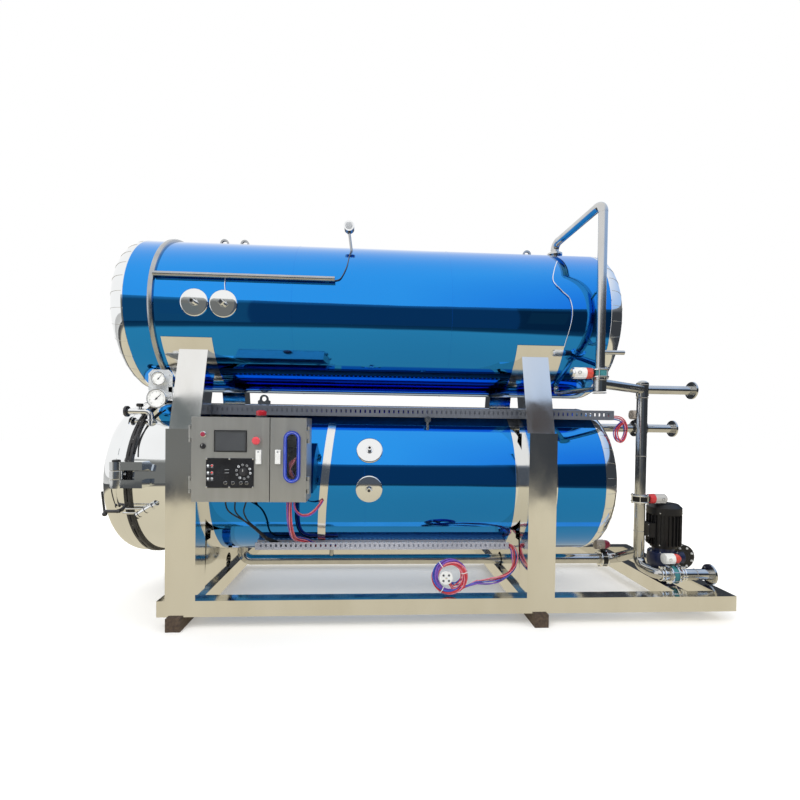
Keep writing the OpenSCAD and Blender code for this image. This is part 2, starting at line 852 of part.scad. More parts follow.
// Screen, instrument panel, lamp, selector, stop button and handle on the left door
module operator_panel() {
  x = cab_x;
  top = cab_z + cab_h;
  color("black")
    translate([0, leaf_front, 0]) {
      translate([x + 157, -6, top - 246]) cube([226, 6, 153]);
      translate([x + 103, -5, top - 500]) cube([330, 5, 210]);
      translate([x + 82, 0, top - 123]) rotate([90, 0, 0]) cylinder(h = 17, r = 18);
      translate([x + 80, 0, top - 207]) rotate([90, 0, 0]) cylinder(h = 21, r = 17);
      translate([x + 453, 0, top - 164]) rotate([90, 0, 0]) cylinder(h = 27, r = 18);
      translate([x + 453, -26, top - 164]) rotate([90, 0, 0]) cylinder(h = 14, r = 28);
      translate([x + 450, -18, top - 328]) cube([35, 18, 98]);
    }
}

module beacon() {
  color("firebrick")
    translate([cab_x + 464, cab_y - cab_d + 70, cab_z + cab_h]) {
      cylinder(h = 14, r = 40);
      translate([0, 0, 14]) cylinder(h = 40, r = 36);
    }
}

// A round flange of a pipe with four bolt holes, its face at the origin towards +X
module pipe_flange(r) {
  rotate([0, -90, 0])
    difference() {
      cylinder(h = pipe_flange_t, r = r + pipe_flange_over);
      translate([0, 0, -1]) cylinder(h = pipe_flange_t + 2, r = r - pipe_wall);
      for (a = [45 : 90 : 315])
        rotate([0, 0, a])
          translate([r + pipe_flange_over * 0.55, 0, -1]) cylinder(h = pipe_flange_t + 2, r = bolt_r);
    }
}

// The open, flanged end of a pipe along +X at x_end
module pipe_tail(x0, x_end, y, z, r) {
  difference() {
    rod([x0, y, z], [x_end, y, z], r);
    rod([x_end - pipe_open, y, z], [x_end + 1, y, z], r - pipe_wall);
  }
  translate([x_end, y, z]) pipe_flange(r);
}

// Riser with its elbow, side stub and two stays
module riser_pipe() {
  stub_z = up_z - 0.51 * jacket_r;
  color("silver")
    on_jackets() {
      rod([riser_x, riser_y, tee_top], [riser_x, riser_y, riser_top - bend_r], riser_r);
      rod([riser_x, riser_y, stub_z], [riser_x + 192, riser_y, stub_z], 17);
      for (k = [-0.385, 0.246])
        rod([riser_x, riser_y, up_z + k * jacket_r],
          [riser_x, 20 - jacket_r * sqrt(1 - k * k), up_z + k * jacket_r], 10);
    }
}

// Vent line from the riser to the nozzle on the upper tank
module vent_pipe() {
  nozzle_z = up_z + sqrt(jacket_r * jacket_r - vent_y * vent_y);
  color("silver")
    on_jackets() {
      run([[riser_x, riser_y, riser_top - bend_r], [riser_x, riser_y, riser_top],
        [vent_x, vent_y, nozzle_z + 115], [vent_x, vent_y, nozzle_z - 30]], riser_r, 65);
      rod([vent_x, vent_y, nozzle_z + 12], [vent_x, vent_y, nozzle_z + 28], riser_r + 32);
    }
}

// Wafer body of a butterfly valve round a pipe along Z, with its neck towards +X
module wafer(r) {
  reach = r + valve_over;
  difference() {
    union() {
      translate([0, 0, -valve_w / 2]) cylinder(h = valve_w, r = reach);
      for (z = [-valve_w / 2 - 8, valve_w / 2 - 4])
        translate([0, 0, z]) cylinder(h = 12, r = reach + 8);
    }
    translate([0, 0, -valve_w]) cylinder(h = 2 * valve_w, r = r);
  }
  rotate([0, 90, 0]) translate([0, 0, r + 5]) cylinder(h = valve_over + 20, r = 18);
}

// Butterfly valve with its actuator in line with the neck, towards +X
module valve(r) {
  reach = r + valve_over;
  wafer(r);
  translate([reach + 8, 0, 0]) rotate([0, 90, 0]) {
    cylinder(h = 10, r = act_r * 0.9);
    translate([0, 0, 10]) cylinder(h = 44, r1 = act_r * 0.9, r2 = act_r);
    translate([0, 0, 54]) cylinder(h = act_len - 34, r = act_r);
    translate([0, 0, act_len + 20]) cylinder(h = 14, r1 = act_r, r2 = act_r * 0.7);
  }
}

// Butterfly valve with its actuator across the neck, along the pipe
module cross_valve(r) {
  reach = r + pipe_flange_over + 6 + act_r;
  wafer(r);
  rotate([0, 90, 0]) translate([0, 0, r + valve_over]) cylinder(h = pipe_flange_over - valve_over + 20, r = 18);
  translate([reach, 0, -act_len * 0.62]) {
    cylinder(h = act_len * 0.66, r = act_r);
    translate([0, 0, act_len * 0.66]) cylinder(h = 36, r = act_r * 0.93);
    translate([0, 0, act_len * 0.66 + 36]) cylinder(h = 22, r1 = act_r * 0.93, r2 = act_r * 0.5);
  }
}

module riser_valve() {
  color("teal")
    translate([riser_x, riser_y, riser_valve_z]) rotate([0, 0, 180]) valve(riser_r);
}

// Tee below the riser valve, return to the upper tank and the header with its flanged end
module header_pipe() {
  color("silver")
    on_jackets() {
      rod([riser_x, riser_y, tee_top], [riser_x, riser_y, tee_z - 62], riser_r + 14);
      rod([riser_x, riser_y, tee_z], [down_x, down_y, tee_z], header_r);
      rod([down_x, down_y, tee_z - 60], [down_x, down_y, tee_z + 60], pipe_r + 6);
      pipe_tail(down_x, pipe_end, down_y, tee_z, header_r);
      run([[riser_x, riser_y, tee_z - 40], [return_x, return_y, tee_z - 50],
        [return_x, return_y, up_z - sqrt(jacket_r * jacket_r - return_y * return_y) + 20]], 22, 45);
    }
}

// Down pipe and the foot line with its flanged end
module down_pipe() {
  color("silver") {
    run([[down_x, down_y, tee_z - 60], [down_x, down_y, foot_z], [down_x, foot_y, foot_z],
      [pipe_end - pipe_open, foot_y, foot_z]], pipe_r, bend_r);
    pipe_tail(pipe_end - pipe_open - 10, pipe_end, foot_y, foot_z, pipe_r);
  }
}

module steam_pipe() {
  color("silver") {
    difference() {
      pipe_tail(back_x + 10, pipe_end, 0, steam_z, header_r);
      translate([back_x, 0, low_z]) rotate([0, 90, 0]) rotate_extrude() dish_area(jacket_r, dish_d, 0);
    }
    for (x = [steam_valve_x - 50, steam_valve_x + 34])
      rod([x, 0, steam_z], [x + 16, 0, steam_z], header_r + 40);
  }
}

module steam_valve() {
  color("gray")
    translate([steam_valve_x, 0, steam_z])
      rotate([0, 90, 0]) rotate([0, 0, 180]) cross_valve(header_r);
}

// Drain line under the lower vessel, with two branches up to it
module drain_pipe() {
  color("silver")
    difference() {
      on_jackets() {
        run([[post_x1 + 230, 0, low_z - jacket_r + 10], [post_x1 + 230, 0, drain_z],
          [down_x - 90, 0, drain_z], [down_x, down_y, foot_z + bend_r + 30]], pipe_r, bend_r);
        rod([neck_end + 0.369 * main_len, 0, drain_z],
          [neck_end + 0.369 * main_len, 0, low_z - jacket_r + 10], 20);
      }
      rod([down_x, down_y, foot_z], [down_x, down_y, tee_z], pipe_r + 1.2);
    }
}

module drain_valve() {
  color("dimgray")
    translate([drain_valve_x, 0, drain_z])
      rotate([0, 90, 0]) rotate([0, 0, 180]) cross_valve(pipe_r);
}

module down_valve() {
  color("dimgray")
    translate([down_x, down_y, down_valve_z]) valve(pipe_r);
}

module foot_valve() {
  color("teal")
    translate([down_x + 130, foot_y, foot_z])
      rotate([0, 90, 0]) rotate([0, 0, 180]) cross_valve(pipe_r);
}

// Vertical motor with cooling ribs and a domed fan cover
module pump_motor() {
  z0 = rail_top + pump_h;
  color("black")
    translate([pump_x, pump_y, z0]) {
      cylinder(h = 20, r = pump_r * 0.84);
      translate([0, 0, 20]) cylinder(h = motor_h - 100, r = motor_r - 16);
      for (a = [0 : 15 : 345])
        rotate([0, 0, a])
          translate([motor_r - 20, -3, 30]) cube([20, 6, motor_h - 130]);
      translate([0, 0, motor_h - 90]) cylinder(h = 60, r = motor_r);
      translate([0, 0, motor_h - 30]) cylinder(h = 30, r1 = motor_r, r2 = motor_r - 30);
    }
}

// Pump casing with its base, side branch and round flange
module pump_body() {
  color("navy")
    translate([pump_x, pump_y, rail_top]) {
      cylinder(h = 30, r = pump_r + 30);
      cylinder(h = pump_h, r = pump_r * 0.72);
      translate([0, 0, 70]) cylinder(h = 130, r = pump_r);
      rod([0, 0, pump_h * 0.58], [pump_r * 1.38, 0, pump_h * 0.58], 60);
      rod([pump_r * 1.38, -20, pump_h * 0.6], [pump_r * 1.38, 50, pump_h * 0.6], 112);
    }
}

// Tube swept through points: one closed body with eight sides
module swept(path, r, up) {
  n = len(path);
  k = 8;
  function dir(i) = let (d = path[min(i + 1, n - 1)] - path[max(i - 1, 0)]) d / norm(d);
  function side(i) = let (s = cross(dir(i), up)) s / norm(s);
  function ring(i) = [for (j = [0 : k - 1])
    path[i] + r * (cos(360 * j / k) * side(i) + sin(360 * j / k) * cross(side(i), dir(i)))];
  pts = [for (i = [0 : n - 1]) for (p = ring(i)) p];
  walls = [for (i = [0 : n - 2]) for (j = [0 : k - 1]) for (h = [0, 1])
    h == 0 ? [i * k + j, i * k + (j + 1) % k, (i + 1) * k + j]
           : [i * k + (j + 1) % k, (i + 1) * k + (j + 1) % k, (i + 1) * k + j]];
  polyhedron(pts, concat(walls, [[for (j = [k - 1 : -1 : 0]) j]],
    [[for (j = [0 : k - 1]) (n - 1) * k + j]]));
}

lead_path = [[-200, -464, 546], [-165, -468, 546], [-138, -495, 525], [-136, -545, 475], [-160, -600, 415],
  [-215, -645, 370], [-300, -680, 340], [-400, -702, 326], [-500, -712, 322], [-570, -715, 322]];
drop_path = [[-1935, -800, 990], [-1935, -800, 900], [-1935, -780, 820], [-1935, -720, 740],
  [-1932, -640, 670], [-1920, -560, 630], [-1895, -508, 612], [-1850, -474, 590], [-1785, -464, 556],
  [-1700, -464, 546], [-1605, -464, 546]];
cable_path = [[-2325, -800, 990], [-2325, -800, 900], [-2275, -770, 830], [-2215, -720, 760],
  [-2178, -640, 690], [-2165, -560, 640], [-2150, -508, 610], [-2110, -474, 585], [-2050, -464, 555], [-1990, -464, 542]];
hank_path = [[685, -400, 1637.5], [755, -402, 1637.5], [815, -415, 1622], [845, -430, 1570],
  [850, -430, 1510], [830, -430, 1455], [800, -430, 1440], [775, -430, 1465], [765, -430, 1520],
  [785, -440, 1570], [805, -460, 1600]];

// Tied coil of tubes standing on the front rail, with its round end plate
module hose_coil() {
  color("orchid")
    translate([-705, -half_w + 60, rail_top + coil_r + 0.3])
      rotate([90, 0, 0]) {
        rotate_extrude() translate([coil_r - 32, 0]) circle(r = 32, $fn = 24);
        translate([-35, 0, 10]) cylinder(h = 22, r = 56);
        translate([-35, 0, -4]) rotate([0, 90, 0]) translate([0, 0, -90]) cylinder(h = 40, r = 10);
      }
}

module hose_lead() {
  color("orchid") swept(lead_path, bundle_r, [0, 0, 1]);
}

module hose_drop() {
  color("orchid") swept(drop_path, bundle_r, [1, -1, -1]);
}

module hose_hank() {
  color("orchid") swept(hank_path, bundle_r, [0, 1, 0]);
}

module cables() {
  color("black") swept(cable_path, bundle_r - 4, [1, -1, -1]);
}

timber_left();
timber_right();
front_rail();
rear_rail();
beams_left();
beams_right();
beam_end();
post_front_left();
post_front_right();
post_rear_left();
post_rear_right();
saddle_pads();
chamber_shell();
neck_jacket();
main_jacket();
strap_jacket();
end_jacket();
lower_head();
lock_ring();
door();
door_lever();
door_hardware();
vent_elbow();
gauge_plate();
upper_shell();
lifting_lugs();
upper_head_left();
upper_head_right();
band_ring();
cover_plates();
conduit();
upper_tray();
lower_tray();
duct_strip();
cabinet_box();
cabinet_door_left();
cabinet_door_right();
window_rim();
operator_panel();
beacon();
riser_pipe();
riser_valve();
vent_pipe();
header_pipe();
down_pipe();
steam_pipe();
steam_valve();
drain_pipe();
drain_valve();
down_valve();
foot_valve();
pump_motor();
pump_body();
hose_coil();
hose_lead();
hose_hank();
hose_drop();
cables();
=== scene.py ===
import math
import bmesh
import bpy
from mathutils import Matrix, Vector


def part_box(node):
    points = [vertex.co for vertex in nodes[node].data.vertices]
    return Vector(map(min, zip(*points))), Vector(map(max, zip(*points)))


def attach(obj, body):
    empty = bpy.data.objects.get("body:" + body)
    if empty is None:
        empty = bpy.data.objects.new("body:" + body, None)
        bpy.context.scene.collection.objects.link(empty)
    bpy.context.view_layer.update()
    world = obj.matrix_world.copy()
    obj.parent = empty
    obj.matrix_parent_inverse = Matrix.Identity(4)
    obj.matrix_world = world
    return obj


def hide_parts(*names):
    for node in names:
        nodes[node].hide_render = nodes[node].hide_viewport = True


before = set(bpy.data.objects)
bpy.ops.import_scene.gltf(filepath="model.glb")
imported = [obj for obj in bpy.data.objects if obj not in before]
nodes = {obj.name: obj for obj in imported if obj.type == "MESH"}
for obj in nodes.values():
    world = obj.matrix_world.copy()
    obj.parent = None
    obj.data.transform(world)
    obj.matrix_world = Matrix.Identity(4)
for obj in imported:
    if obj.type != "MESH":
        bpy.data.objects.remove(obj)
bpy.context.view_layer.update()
scene = bpy.context.scene
scene.view_settings.view_transform = "Standard"
pi, cos, sin, rad = math.pi, math.cos, math.sin, math.radians
FRONT, LONG, UP = Vector((0, -1, 0)), Vector((1, 0, 0)), Vector((0, 0, 1))
MM = 1000


def V(*p):
    return Vector(p[0] if len(p) == 1 else p)


# Camera at the photograph's place, with the principal point below the middle
cam = bpy.data.objects.new("camera", bpy.data.cameras.new("camera"))
cam.data.sensor_fit = "HORIZONTAL"
cam.data.sensor_width = 36.0
cam.data.lens = 19.873
cam.data.shift_y = 0.0406
cam.data.clip_end = 200.0
EYE = (-1.3063, -4.119, 1.5493)
TURN = Matrix(((0.99829, -0.01273, -0.05706), (-0.05684, 0.01735, -0.99823), (0.0137, 0.99977, 0.0166)))
cam.matrix_world = Matrix.Translation(EYE) @ TURN.to_4x4()
scene.collection.objects.link(cam)
scene.camera = cam


# Materials
def feed(nt, node, sockets):
    """Gives each socket a value, or a link from another node's output."""
    for key, value in sockets.items():
        if isinstance(value, bpy.types.NodeSocket):
            nt.links.new(value, node.inputs[key])
        else:
            node.inputs[key].default_value = value


def shader(nt, kind, sockets, out=0, **settings):
    """One output of a new shader node."""
    node = nt.nodes.new("ShaderNode" + kind)
    for key, value in settings.items():
        setattr(node, key, value)
    feed(nt, node, sockets)
    return node.outputs[out]


def noise(nt, scale, stretch):
    at = shader(nt, "Mapping", {"Vector": shader(nt, "TexCoord", {}, "Object"), "Scale": stretch})
    return shader(nt, "TexNoise", {"Vector": at, "Scale": scale, "Detail": 3.0, "Roughness": 0.5})


def spread(nt, source, low, high, first=0.3, last=0.7):
    ends = {"From Min": first, "From Max": last, "To Min": low, "To Max": high}
    return shader(nt, "MapRange", {"Value": source, **ends})


def blend(nt, share, first, second):
    return shader(nt, "Mix", {0: share, 6: (*first, 1), 7: (*second, 1)}, 2, data_type="RGBA")


def look(name, colour, second, metallic, rough, rough_by, grain, bump, bump_scale, depth, coat=0.0,
        stretch=(1, 1, 1), bump_stretch=None, emit=None, glass=0.0):
    """A Principled material: two colours mixed by noise, uneven roughness, a fine bump of a depth in mm."""
    m = bpy.data.materials.new(name)
    m.use_nodes = True
    nt = m.node_tree
    tone = spread(nt, noise(nt, grain, stretch), 0, 1)
    gloss = noise(nt, grain * 2.7, stretch)
    fine = noise(nt, bump_scale, bump_stretch or stretch)
    sockets = {"Base Color": blend(nt, tone, second, colour), "Metallic": metallic,
        "Roughness": spread(nt, gloss, max(rough - rough_by, 0.01), rough + rough_by),
        "Normal": shader(nt, "Bump", {"Strength": bump, "Distance": depth / MM, "Height": fine})}
    if coat:
        sockets.update({"Coat Weight": coat, "Coat Roughness": 0.04})
    if emit:
        sockets.update({"Emission Color": (*emit, 1), "Emission Strength": 0.15})
    if glass:
        sockets.update({"Transmission Weight": glass, "IOR": 1.45})
    feed(nt, nt.nodes["Principled BSDF"], sockets)
    return m


# Finishes that several materials share: uneven roughness, its grain, bump, bump scale and depth, then coat
TUBING = (0.06, 10, 0.05, 120, 0.3, 0.2)
PAINT = (0.1, 14, 0.12, 140, 0.4)
PRINT = (0.05, 30, 0.03, 200, 0.2)
BLUE = look("blue_mirror", (0.004, 0.285, 0.82), (0.003, 0.255, 0.77), 1, 0.045, 0.02, 1.3, 0.1, 1.6, 20,
    0.5, stretch=(0.4, 1, 1), bump_stretch=(0.5, 1.4, 1.4))
STEEL = look("polished_steel", (0.9, 0.915, 0.92), (0.84, 0.85, 0.85), 1, 0.06, 0.025, 2, 0.1, 2.2, 12,
    bump_stretch=(0.8, 1.4, 1.4))
FRAME = look("frame_steel", (0.87, 0.87, 0.86), (0.8, 0.79, 0.76), 1, 0.11, 0.04, 3, 0.16, 5, 6,
    stretch=(1, 1, 0.4), bump_stretch=(1, 1, 0.5))
PIPE = look("pipe_steel", (0.64, 0.64, 0.63), (0.55, 0.55, 0.54), 1, 0.14, 0.05, 9, 0.1, 60, 0.5,
    stretch=(1, 1, 0.3))
CHROME = look("bright_chrome", (0.92, 0.93, 0.94), (0.85, 0.86, 0.87), 1, 0.06, 0.03, 14, 0.05, 120, 0.3)
WELD = look("weld_bead", (0.66, 0.65, 0.62), (0.48, 0.45, 0.42), 1, 0.3, 0.1, 30, 0.5, 160, 1)
RING = look("ring_dark", (0.06, 0.06, 0.064), (0.035, 0.034, 0.034), 0.6, 0.34, 0.1, 14, 0.25, 90, 0.8)
DARK = look("dark_steel", (0.115, 0.115, 0.125), (0.065, 0.065, 0.07), 0.85, 0.3, 0.1, 18, 0.2, 110, 0.6)
SATIN = look("satin_steel", (0.5, 0.515, 0.53), (0.42, 0.43, 0.445), 1, 0.24, 0.05, 9, 0.1, 70, 0.5)
# The first tray grey below is the slotted duct darkened as painted shade, for the upper tray under the
# upper vessel and the ducts inside the cabinet; tray_pale is the same duct unshaded.
TRAY_SHADED = look("tray_grey", (0.115, 0.125, 0.15), (0.09, 0.1, 0.12), 0, 0.42, 0.08, 7, 0.12, 140, 0.4,
    stretch=(0.3, 1, 1))
TRAY_LOW = look("tray_pale", (0.4, 0.41, 0.46), (0.32, 0.33, 0.38), 0, 0.42, 0.08, 7, 0.12, 140, 0.4,
    stretch=(0.3, 1, 1))
CABINET = look("brushed_cabinet", (0.47, 0.475, 0.46), (0.43, 0.43, 0.415), 0.75, 0.36, 0.05, 2.2, 0.06, 9,
    0.5, stretch=(9, 9, 0.7), bump_stretch=(90, 90, 1.2))
RUBBER_BLUE = look("rubber_blue", (0.012, 0.045, 0.42), (0.008, 0.03, 0.3), 0, 0.34, 0.08, 18, 0.15, 200,
    0.5, 0.15)
RUBBER = look("rubber_black", (0.02, 0.02, 0.022), (0.012, 0.012, 0.013), 0, 0.55, 0.1, 22, 0.2, 240, 0.4)
PANEL = look("panel_black", (0.016, 0.017, 0.02), (0.01, 0.01, 0.012), 0, 0.22, 0.06, 10, 0.05, 160, 0.3,
    0.2)
SCREEN = look("screen_glass", (0.07, 0.074, 0.078), (0.06, 0.063, 0.068), 0, 0.12, 0.02, 5, 0.02, 40, 0.2,
    0.6)
SCREEN_RIM = look("screen_rim", (0.042, 0.044, 0.047), (0.034, 0.036, 0.038), 0, 0.34, 0.05, 9, 0.05, 140,
    0.3)
WHITE = look("white_plastic", (0.74, 0.74, 0.72), (0.66, 0.66, 0.63), 0, 0.36, 0.08, 12, 0.1, 160, 0.4)
GREY = look("grey_plastic", (0.4, 0.41, 0.42), (0.33, 0.34, 0.35), 0, 0.4, 0.08, 12, 0.12, 160, 0.4)
RED = look("red_plastic", (0.56, 0.03, 0.03), (0.42, 0.02, 0.022), 0, 0.3, 0.08, 14, 0.08, 150, 0.3, 0.2)
DOME = look("dome_red", (0.62, 0.075, 0.045), (0.48, 0.045, 0.03), 0, 0.32, 0.08, 12, 0.1, 150, 0.4, 0.2)
LENS = look("beacon_lens", (0.42, 0.014, 0.028), (0.34, 0.01, 0.018), 0, 0.16, 0.05, 20, 0.1, 90, 0.5, 0.4)
TEAL = look("teal_paint", (0.045, 0.22, 0.235), (0.03, 0.16, 0.18), 0, 0.36, 0.1, 16, 0.25, 120, 0.7, 0.1)
NAVY = look("navy_paint", (0.006, 0.013, 0.055), (0.004, 0.009, 0.038), 0, 0.36, 0.1, 16, 0.25, 90, 0.8,
    0.15)
MOTOR = look("motor_black", (0.006, 0.006, 0.008), (0.004, 0.004, 0.005), 0, 0.42, 0.1, 18, 0.25, 110, 0.7)
WOOD = look("timber_dark", (0.105, 0.07, 0.046), (0.04, 0.027, 0.02), 0, 0.72, 0.1, 7, 0.6, 22, 4,
    stretch=(7, 0.7, 7), bump_stretch=(7, 0.5, 7))
DIAL = look("dial_white", (0.8, 0.8, 0.78), (0.76, 0.76, 0.73), 0, 0.4, 0.05, 20, 0.03, 200, 0.2)
MARK = look("dial_mark", (0.03, 0.03, 0.034), (0.022, 0.022, 0.026), 0, 0.45, *PRINT)
TUBE_RED = look("tube_red", (0.58, 0.045, 0.055), (0.46, 0.03, 0.045), 0, 0.26, *TUBING)
TUBE_PINK = look("tube_pink", (0.7, 0.22, 0.27), (0.6, 0.15, 0.2), 0, 0.28, *TUBING)
TUBE_PURPLE = look("tube_purple", (0.2, 0.09, 0.46), (0.13, 0.055, 0.34), 0, 0.26, *TUBING)
TUBE_BLUE = look("tube_blue", (0.045, 0.11, 0.48), (0.03, 0.075, 0.36), 0, 0.26, *TUBING)
PANE = look("window_pane", (0.8, 0.83, 0.85), (0.76, 0.79, 0.81), 0, 0.03, 0.01, 4, 0.02, 30, 0.2, glass=1)
LED_WHITE = look("led_white", (0.78, 0.8, 0.82), (0.663, 0.68, 0.697), 0, 0.25, *PRINT, 0.2,
    emit=(0.8, 0.85, 0.9))
PLATE = look("plate_satin", (0.8, 0.82, 0.83), (0.72, 0.74, 0.75), 0.4, 0.3, 0.08, 8, 0.06, 90, 0.3)
PLATE_ZINC = look("plate_zinc", (0.3, 0.3, 0.28), (0.24, 0.24, 0.22), 0.5, 0.42, 0.1, 10, 0.08, 80, 0.3)
SILVER = look("silver_paint", (0.5, 0.485, 0.455), (0.43, 0.415, 0.39), 0.2, 0.36, 0.1, 14, 0.1, 140, 0.4)
BEIGE = look("beige_paint", (0.42, 0.36, 0.3), (0.35, 0.3, 0.25), 0, 0.42, *PAINT)
MAUVE = look("mauve_cap", (0.3, 0.13, 0.13), (0.24, 0.1, 0.1), 0, 0.38, *PAINT)
CRIMSON = look("crimson_cap", (0.34, 0.03, 0.065), (0.27, 0.022, 0.05), 0, 0.34, *PAINT)
STOP = look("stop_red", (0.66, 0.065, 0.085), (0.56, 0.045, 0.06), 0, 0.34, 0.08, 14, 0.06, 150, 0.3)
# The window seal's locking strip, coloured paler than the rubber as a painted highlight along the rim.
STRIP_AND_HIGHLIGHT = look("strip_pale_highlight", (0.24, 0.29, 0.72), (0.18, 0.22, 0.62), 0, 0.22, 0.06, 16, 0.05, 150, 0.3, 0.4)
MARK_PALE = look("mark_pale", (0.3, 0.31, 0.32), (0.24, 0.25, 0.26), 0, 0.45, *PRINT)
LED_RED = look("led_red", (0.62, 0.03, 0.03), (0.527, 0.0255, 0.0255), 0, 0.22, *PRINT, 0.2,
    emit=(0.8, 0.03, 0.02))


# Mesh pieces
def axes(w):
    w = V(w).normalized()
    a = UP if abs(w.z) < 0.9 else LONG
    u = a.cross(w).normalized()
    return u, w.cross(u), w


def around(count, turn=0.0):
    return [turn + 2 * pi * i / count for i in range(count)]


def bevel(ob, width, segments):
    bv = ob.modifiers.new("bevel", "BEVEL")
    bv.width, bv.segments, bv.limit_method, bv.angle_limit = width, segments, "ANGLE", rad(40)
    return bv


def loft(n, k, ring=True, closed=False):
    """Faces between n rows of k points, open or in a ring, and back to the first row if closed."""
    return [(i * k + j, i * k + (j + 1) % k, (i + 1) % n * k + (j + 1) % k, (i + 1) % n * k + j)
        for i in range(n if closed else n - 1) for j in range(k if ring else k - 1)]


class Piece:
    """Gathers turned, boxed and swept forms into one mesh that rides on a body."""

    def __init__(self, name, body="frame", bevel=0.0):
        self.name, self.body, self.bevel = name, body, bevel
        self.v, self.f, self.m, self.mats = [], [], [], []

    def add(self, verts, faces, mat):
        base = len(self.v)
        if mat not in self.mats:
            self.mats.append(mat)
        self.v += [tuple(p) for p in verts]
        self.f += [tuple(base + i for i in f) for f in faces]
        self.m += [self.mats.index(mat)] * len(faces)

    def lathe(self, at, axis, prof, mat, n=32, closed=False):
        u, v, w = axes(axis)
        at = V(at)
        verts, rows, faces = [], [], []
        for h, r in prof:
            k = 1 if r < 1e-6 else n
            rows.append([len(verts) + i for i in range(k)])
            verts += [at + w * h + (u * cos(a) + v * sin(a)) * r for a in around(n)[:k]]
        for a, b in list(zip(rows, rows[1:])) + ([(rows[-1], rows[0])] if closed else []):
            for i in range(n):
                corners = [row[k % len(row)] for row, k in ((a, i), (a, i + 1), (b, i + 1), (b, i))]
                face = tuple(dict.fromkeys(corners))
                faces += [face] if len(face) > 2 else []
        if not closed:
            faces += [tuple(reversed(rows[0]))] if len(rows[0]) > 1 else []
            faces += [tuple(rows[-1])] if len(rows[-1]) > 1 else []
        self.add(verts, faces, mat)

    def spin(self, at, axis, prof, mat, n=32):
        """Turns an outline that is given in millimetres."""
        self.lathe(at, axis, [(h / MM, r / MM) for h, r in prof], mat, n)

    def cyl(self, a, b, r, mat, n=24, ch=0.0):
        a, b = V(a), V(b)
        l = (b - a).length
        prof = [(0, r - ch), (ch, r), (l - ch, r), (l, r - ch)] if ch else [(0, r), (l, r)]
        self.lathe(a, b - a, prof, mat, n)

    def ring(self, a, b, r_in, r_out, mat, n=48, ch=0.001):
        a, b = V(a), V(b)
        l = (b - a).length
        prof = [(0, r_in), (0, r_out - ch), (ch, r_out), (l - ch, r_out), (l, r_out - ch), (l, r_in)]
        self.lathe(a, b - a, prof, mat, n, True)

    def torus(self, at, axis, big, r, mat, n=32, k=10):
        self.lathe(at, axis, [(r * sin(a), big + r * cos(a)) for a in around(k)], mat, n, True)

    def ball(self, at, r, mat, n=20, k=10):
        self.lathe(at, UP, [(-r * cos(pi * i / k), r * sin(pi * i / k)) for i in range(k + 1)], mat, n)

    def box(self, lo, hi, mat, rot=None, at=(0, 0, 0)):
        p = [V(x, y, z) for x in (lo[0], hi[0]) for y in (lo[1], hi[1]) for z in (lo[2], hi[2])]
        p = [V(at) + (rot @ q if rot else q) for q in p]
        sides = [(0, 1, 3, 2), (4, 6, 7, 5), (0, 4, 5, 1), (2, 3, 7, 6), (0, 2, 6, 4), (1, 5, 7, 3)]
        self.add(p, sides, mat)

    def prism(self, poly, at, u, v, h, mat):
        at, u, v = V(at), V(u), V(v)
        w, n = u.cross(v), len(poly)
        p = [at + u * x + v * y for x, y in poly]
        ends = [tuple(reversed(range(n))), tuple(range(n, 2 * n))]
        self.add(p + [q + w * h for q in p], ends + loft(2, n), mat)

    def tube(self, pts, r, mat, k=10):
        n = len(pts)
        verts = [p + (a * cos(t) + b * sin(t)) * r for p, a, b in carried(pts) for t in around(k)]
        ends = [tuple(reversed(range(k))), tuple(range((n - 1) * k, n * k))]
        self.add(verts, loft(n, k) + ends, mat)

    def bolt(self, at, axis, r, mat, h=None):
        at, w = V(at), V(axis).normalized()
        h = h or r * 1.3
        self.lathe(at, w, [(0, r * 1.35), (r * 0.25, r * 1.35)], mat, 16)
        self.lathe(at + w * r * 0.25, w, [(0, r * 1.12), (h * 0.8, r * 1.12), (h, r * 0.95)], mat, 6)
        self.lathe(at + w * (r * 0.25 + h), w, [(0, r * 0.6), (r * 0.5, r * 0.6), (r * 0.65, r * 0.48)],
            mat, 10)

    def bolts(self, at, axis, circle, count, r, mat, turn=0.0):
        u, v, w = axes(axis)
        for a in around(count, turn):
            self.bolt(V(at) + (u * cos(a) + v * sin(a)) * circle, w, r, mat)

    def done(self, *stands_for, slot=None):
        me = bpy.data.meshes.new(self.name)
        me.from_pydata(self.v, [], self.f)
        for m in self.mats:
            me.materials.append(m)
        me.polygons.foreach_set("material_index", self.m)
        bm = bmesh.new()
        bm.from_mesh(me)
        bmesh.ops.recalc_face_normals(bm, faces=bm.faces)
        bm.to_mesh(me)
        bm.free()
        me.polygons.foreach_set("use_smooth", [True] * len(me.polygons))
        me.set_sharp_from_angle(angle=rad(32))
        ob = bpy.data.objects.new(self.name, me)
        scene.collection.objects.link(ob)
        if self.bevel:
            bevel(ob, self.bevel, 2)
        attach(ob, self.body)
        if stands_for:
            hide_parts(*stands_for)
        return ob


def carried(pts):
    """Points with two side directions each, carried along the line without twist."""
    pts = [V(p) for p in pts]
    n, out, a = len(pts), [], None
    for i in range(n):
        t = (pts[min(i + 1, n - 1)] - pts[max(i - 1, 0)]).normalized()
        a = axes(t)[0] if a is None else (a - t * a.dot(t)).normalized()
        out.append((pts[i], a, t.cross(a)))
    return out


def smooth(pts, per=6):
    """A smooth line through all points."""
    p = [V(q) for q in pts]
    p = [p[0] * 2 - p[1]] + p + [p[-1] * 2 - p[-2]]
    out = []
    for i in range(1, len(p) - 2):
        a, b, c, d = p[i - 1:i + 3]
        for k in range(per):
            t = k / per
            square, cube = 2 * a - 5 * b + 4 * c - d, 3 * b - a - 3 * c + d
            out.append(0.5 * (2 * b + (c - a) * t + square * t * t + cube * t ** 3))
    return out + [p[-2]]


